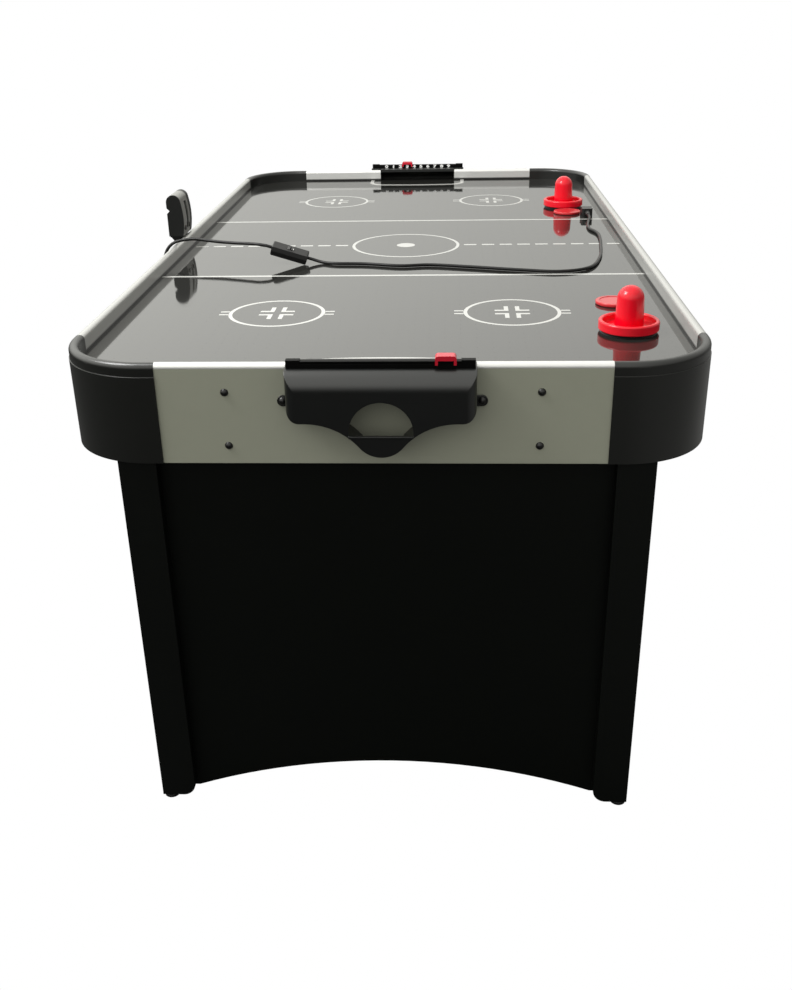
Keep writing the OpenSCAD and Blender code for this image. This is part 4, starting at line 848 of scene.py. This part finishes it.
class AIRHOCKEY_OT_goals(bpy.types.Operator):
    """Finish the goal covers, the score bars and the score markers, and print the score figures"""

    bl_idname = "airhockey.goals"
    bl_label = "Finish Goals"

    def figures(self, material):
        """Score figures as flat meshes, in one mesh for each bar."""
        given = settings().score
        text = bpy.data.curves.new("figure", "FONT")
        text.size = given.figure_h / given.font_share
        text.align_x = "CENTER"
        text.offset = given.bold
        text.resolution_u = 4
        writer = bpy.data.objects.new("figure", text)
        bpy.context.scene.collection.objects.link(writer)
        verts, faces = [], []
        for score in range(given.count):
            text.body = str(score)
            bpy.context.view_layer.update()
            shown = writer.evaluated_get(bpy.context.evaluated_depsgraph_get())
            made = bpy.data.meshes.new_from_object(shown)
            first = len(verts)
            place = (score - (given.count - 1) / 2) * given.pitch
            verts += [(given.wide * v.co.x + place, v.co.y - given.figure_h / 2) for v in made.vertices]
            faces += [tuple(first + i for i in p.vertices) for p in made.polygons]
            bpy.data.meshes.remove(made)
        bpy.data.objects.remove(writer)
        bpy.data.curves.remove(text)
        for name, side in (("front", -1), ("rear", 1)):
            y = side * (given.face_y - given.ink)
            placed = [(side * u, y, given.mid_z + v) for u, v in verts]
            add_mesh("score_figures_" + name, placed, faces, material)

    def execute(self, context):
        given = settings().colours
        black, _ = finish("goal_plastic", given.goal, 0.30, 0.65, grain=(1300.0, 0.06), edge=0.0016,
                          mottle=(18.0, 0.10))
        dress(black, "goal_cover_front", "goal_cover_rear")
        bar, _ = finish("bar_plastic", given.bar, 0.5, 0.07, grain=(1300.0, 0.05), edge=0.0005,
                        mottle=(18.0, 0.10))
        dress(bar, "score_bar_front", "score_bar_rear")
        red, shader = finish("marker_plastic", given.marker, 0.26, 0.5, grain=(900.0, 0.02), edge=0.0006)
        let_light_in(shader, 0.15, (0.004, 0.001, 0.001))
        dress(red, "score_marker_front", "score_marker_rear")
        white, _ = finish("figure_white", given.figure, 0.5, 0.3, edge=0.0)
        self.figures(white)
        return {"FINISHED"}


class AIRHOCKEY_OT_base(bpy.types.Operator):
    """Finish the legs, the end panels, the feet and the fasteners"""

    bl_idname = "airhockey.base"
    bl_label = "Finish Base"

    def execute(self, context):
        given = settings().colours
        leg, _ = finish("leg_board", given.leg, 0.42, 0.20, grain=(1500.0, 0.05), stretch=(1.0, 1.0, 0.05),
                        edge=0.0018, mottle=(12.0, 0.15))
        dress(leg, *("leg_" + corner for corner in CORNERS))
        panel, _ = finish("panel_board", given.panel, 0.45, 0.15, grain=(1500.0, 0.05),
                          stretch=(0.05, 1.0, 1.0), mottle=(8.0, 0.20))
        dress(panel, "end_panel_front", "end_panel_rear")
        nylon, _ = finish("foot_nylon", srgb(22, 22, 22), 0.5, 0.3, grain=(900.0, 0.1))
        dress(nylon, *("foot_" + corner for corner in CORNERS))
        screw, _ = finish("black_screw", srgb(16, 16, 16), 0.28, 0.5, metallic=0.3, grain=(1500.0, 0.04),
                          edge=0.0004)
        dress(screw, "pan_screws")
        zinc, _ = finish("zinc_steel", srgb(178, 180, 182), 0.36, metallic=1.0, grain=(800.0, 0.06),
                         edge=0.0004)
        dress(zinc, "leg_bolts", "blower_screws", "fan_shaft")
        return {"FINISHED"}


class AIRHOCKEY_OT_blower(bpy.types.Operator):
    """Finish the blower and its motor"""

    bl_idname = "airhockey.blower"
    bl_label = "Finish Blower"

    def execute(self, context):
        moulding, _ = finish("blower_plastic", srgb(38, 38, 38), 0.5, 0.4, grain=(900.0, 0.12))
        dress(moulding, "blower_housing", "blower_cover")
        fan, _ = finish("fan_plastic", srgb(54, 55, 58), 0.45, 0.4, grain=(900.0, 0.08))
        dress(fan, "fan")
        can, _ = finish("motor_can", srgb(160, 160, 160), 0.35, metallic=1.0, grain=(500.0, 0.05),
                        stretch=(1.0, 1.0, 0.05))
        dress(can, "fan_motor")
        return {"FINISHED"}


class AIRHOCKEY_OT_scorer(bpy.types.Operator):
    """Finish the scorer on the side of the table"""

    bl_idname = "airhockey.scorer"
    bl_label = "Finish Scorer"

    def execute(self, context):
        shell, _ = finish("scorer_plastic", settings().colours.scorer, 0.45, 0.3, grain=(1100.0, 0.12),
                          edge=0.0010)
        dress(shell, "scorer_bracket", "scorer_shell")
        silver, _ = finish("scorer_silver", srgb(142, 142, 138), 0.4, 0.4, metallic=0.3, grain=(1800.0, 0.04),
                           edge=0.0010)
        dress(silver, "scorer_frame")
        glass, _ = finish("scorer_display", srgb(8, 8, 10), 0.08, 0.5, grain=(1500.0, 0.005), edge=0.0003)
        dress(glass, "scorer_window")
        grey, _ = finish("button_plastic", srgb(70, 70, 70), 0.45, 0.35, grain=(1100.0, 0.08), edge=0.0008)
        dress(grey, "scorer_button_front", "scorer_button_rear")
        return {"FINISHED"}


class AIRHOCKEY_OT_loose(bpy.types.Operator):
    """Finish the pushers and the pucks"""

    bl_idname = "airhockey.loose"
    bl_label = "Finish Loose Pieces"

    def execute(self, context):
        given = settings().colours
        for name, colour, roughness, specular, pieces in (
                ("pusher_red", given.pusher, 0.20, 0.40, ("pusher_near", "pusher_far")),
                ("puck_red", given.puck, 0.22, 0.38, ("puck_near", "puck_far"))):
            red, shader = finish(name, colour, roughness, specular, grain=(900.0, 0.03), edge=0.0008,
                                 mottle=(18.0, 0.05))
            let_light_in(shader, 0.08, (0.006, 0.001, 0.001))
            dress(red, *pieces)
        felt, shader = finish("black_felt", srgb(20, 20, 20), 0.95, 0.1, grain=(1800.0, 0.6),
                              mottle=(300.0, 0.3))
        shader.inputs["Sheen Weight"].default_value = 0.4
        dress(felt, "pusher_felt_near", "pusher_felt_far")
        return {"FINISHED"}


class AIRHOCKEY_OT_stage(bpy.types.Operator):
    """Build the pale floor, the room's light and the light over the table"""

    bl_idname = "airhockey.stage"
    bl_label = "Build Stage"

    def floor_finish(self):
        """White to the camera; to the table's light, painted light: a tone that grows paler to the right,
        standing in for more light falling on that side, as seen in reflections.
        """
        made = bpy.data.materials.new("floor")
        made.use_nodes = True
        tree = made.node_tree
        tree.nodes.clear()
        out = tree.nodes.new("ShaderNodeOutputMaterial")
        mix = tree.nodes.new("ShaderNodeMixShader")
        seen = node(tree, "ShaderNodeEmission", Color=(1, 1, 1, 1), Strength=1.0)
        lit = node(tree, "ShaderNodeBsdfDiffuse")
        parts = node(tree, "ShaderNodeSeparateXYZ")
        tree.links.new(object_coords(tree), parts.inputs[0])
        # Painted light: the floor's tone rises to the right in place of a brighter patch of light there
        across = {"From Min": 0.2, "From Max": 1.8, "To Min": 0.085, "To Max": 0.34}
        tone = node(tree, "ShaderNodeMapRange", **across)
        tree.links.new(parts.outputs[0], tone.inputs["Value"])
        tree.links.new(tone.outputs[0], lit.inputs["Color"])
        path = tree.nodes.new("ShaderNodeLightPath")
        tree.links.new(path.outputs["Is Camera Ray"], mix.inputs[0])
        tree.links.new(lit.outputs[0], mix.inputs[1])
        tree.links.new(seen.outputs[0], mix.inputs[2])
        tree.links.new(mix.outputs[0], out.inputs[0])
        return made

    def floor(self):
        given = settings().stage
        mesh = bpy.data.meshes.new("floor")
        s = given.floor_half
        mesh.from_pydata([(-s, -s, 0), (s, -s, 0), (s, s, 0), (-s, s, 0)], [], [(0, 1, 2, 3)])
        mesh.materials.append(self.floor_finish())
        piece = bpy.data.objects.new("floor", mesh)
        bpy.context.scene.collection.objects.link(piece)
        piece.location.z = -given.floor_drop

    def room(self):
        """Room that is white to the camera, and brighter to the left and above for soft light and gloss."""
        given = settings().stage
        world = bpy.data.worlds.new("room")
        bpy.context.scene.world = world
        world.use_nodes = True
        tree = world.node_tree
        tree.nodes.clear()
        out = tree.nodes.new("ShaderNodeOutputWorld")
        path = tree.nodes.new("ShaderNodeLightPath")
        parts = node(tree, "ShaderNodeSeparateXYZ")
        tree.links.new(node(tree, "ShaderNodeTexCoord").outputs["Generated"], parts.inputs[0])
        side = math_node(tree, "MULTIPLY_ADD", parts.outputs[0], given.side_slope, 1.0)
        rays = []
        for level, top, low in ((given.diffuse_level, 0.32, 0.55), (given.glossy_level, 0.35, 0.20)):
            upward = {"From Min": 0.0, "From Max": top, "To Min": low, "To Max": 1.0}
            rise = node(tree, "ShaderNodeMapRange", **upward)
            tree.links.new(parts.outputs[2], rise.inputs["Value"])
            shape = math_node(tree, "MULTIPLY", side, rise.outputs[0])
            rays.append(math_node(tree, "MULTIPLY", shape, level))
        gloss = math_node(tree, "ADD", path.outputs["Is Glossy Ray"], path.outputs["Is Transmission Ray"],
                          clamp=True)
        seen = path.outputs["Is Camera Ray"]
        strength = mix_node(tree, "FLOAT", seen, mix_node(tree, "FLOAT", gloss, *rays), 1.0)
        tint = mix_node(tree, "RGBA", seen, given.tint, (1.0, 1.0, 1.0, 1.0))
        back = tree.nodes.new("ShaderNodeBackground")
        tree.links.new(tint, back.inputs["Color"])
        tree.links.new(strength, back.inputs["Strength"])
        tree.links.new(back.outputs[0], out.inputs[0])

    def key(self):
        given = settings().stage
        light = bpy.data.lights.new("key", "AREA")
        light.shape = "SQUARE"
        light.size = given.key_size
        light.energy = given.key_power
        lamp = bpy.data.objects.new("key", light)
        lamp.location = given.key_place
        aim = Vector(given.key_aim) - lamp.location
        lamp.rotation_euler = aim.to_track_quat("-Z", "Y").to_euler()
        bpy.context.scene.collection.objects.link(lamp)

    def execute(self, context):
        self.floor()
        self.room()
        self.key()
        return {"FINISHED"}


class AIRHOCKEY_PT_panel(bpy.types.Panel):
    """Steps and settings of the air hockey table"""

    bl_idname = "AIRHOCKEY_PT_panel"
    bl_label = "Air Hockey Table"
    bl_space_type = "VIEW_3D"
    bl_region_type = "UI"
    bl_category = "Air Hockey"

    def draw(self, context):
        for step in STEPS:
            self.layout.operator(step.bl_idname)
        given = context.scene.air_hockey
        for group in (given.camera, given.field, given.score, given.lead, given.colours, given.stage):
            box = self.layout.box()
            for name in group.__annotations__:
                box.prop(group, name)


STEPS = (
    AIRHOCKEY_OT_camera, AIRHOCKEY_OT_lead, AIRHOCKEY_OT_field, AIRHOCKEY_OT_cabinet, AIRHOCKEY_OT_goals,
    AIRHOCKEY_OT_base, AIRHOCKEY_OT_blower, AIRHOCKEY_OT_scorer, AIRHOCKEY_OT_loose, AIRHOCKEY_OT_stage,
)
CLASSES = (
    CameraSettings, FieldSettings, ScoreSettings, LeadSettings, ColourSettings, StageSettings, TableSettings,
    *STEPS, AIRHOCKEY_PT_panel,
)


def register():
    for cls in CLASSES:
        bpy.utils.register_class(cls)
    bpy.types.Scene.air_hockey = PointerProperty(type=TableSettings)


def unregister():
    del bpy.types.Scene.air_hockey
    for cls in reversed(CLASSES):
        bpy.utils.unregister_class(cls)


def main():
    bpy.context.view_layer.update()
    register()
    for step in STEPS:
        area, name = step.bl_idname.split(".")
        getattr(getattr(bpy.ops, area), name)()


if __name__ == "__main__":
    main()
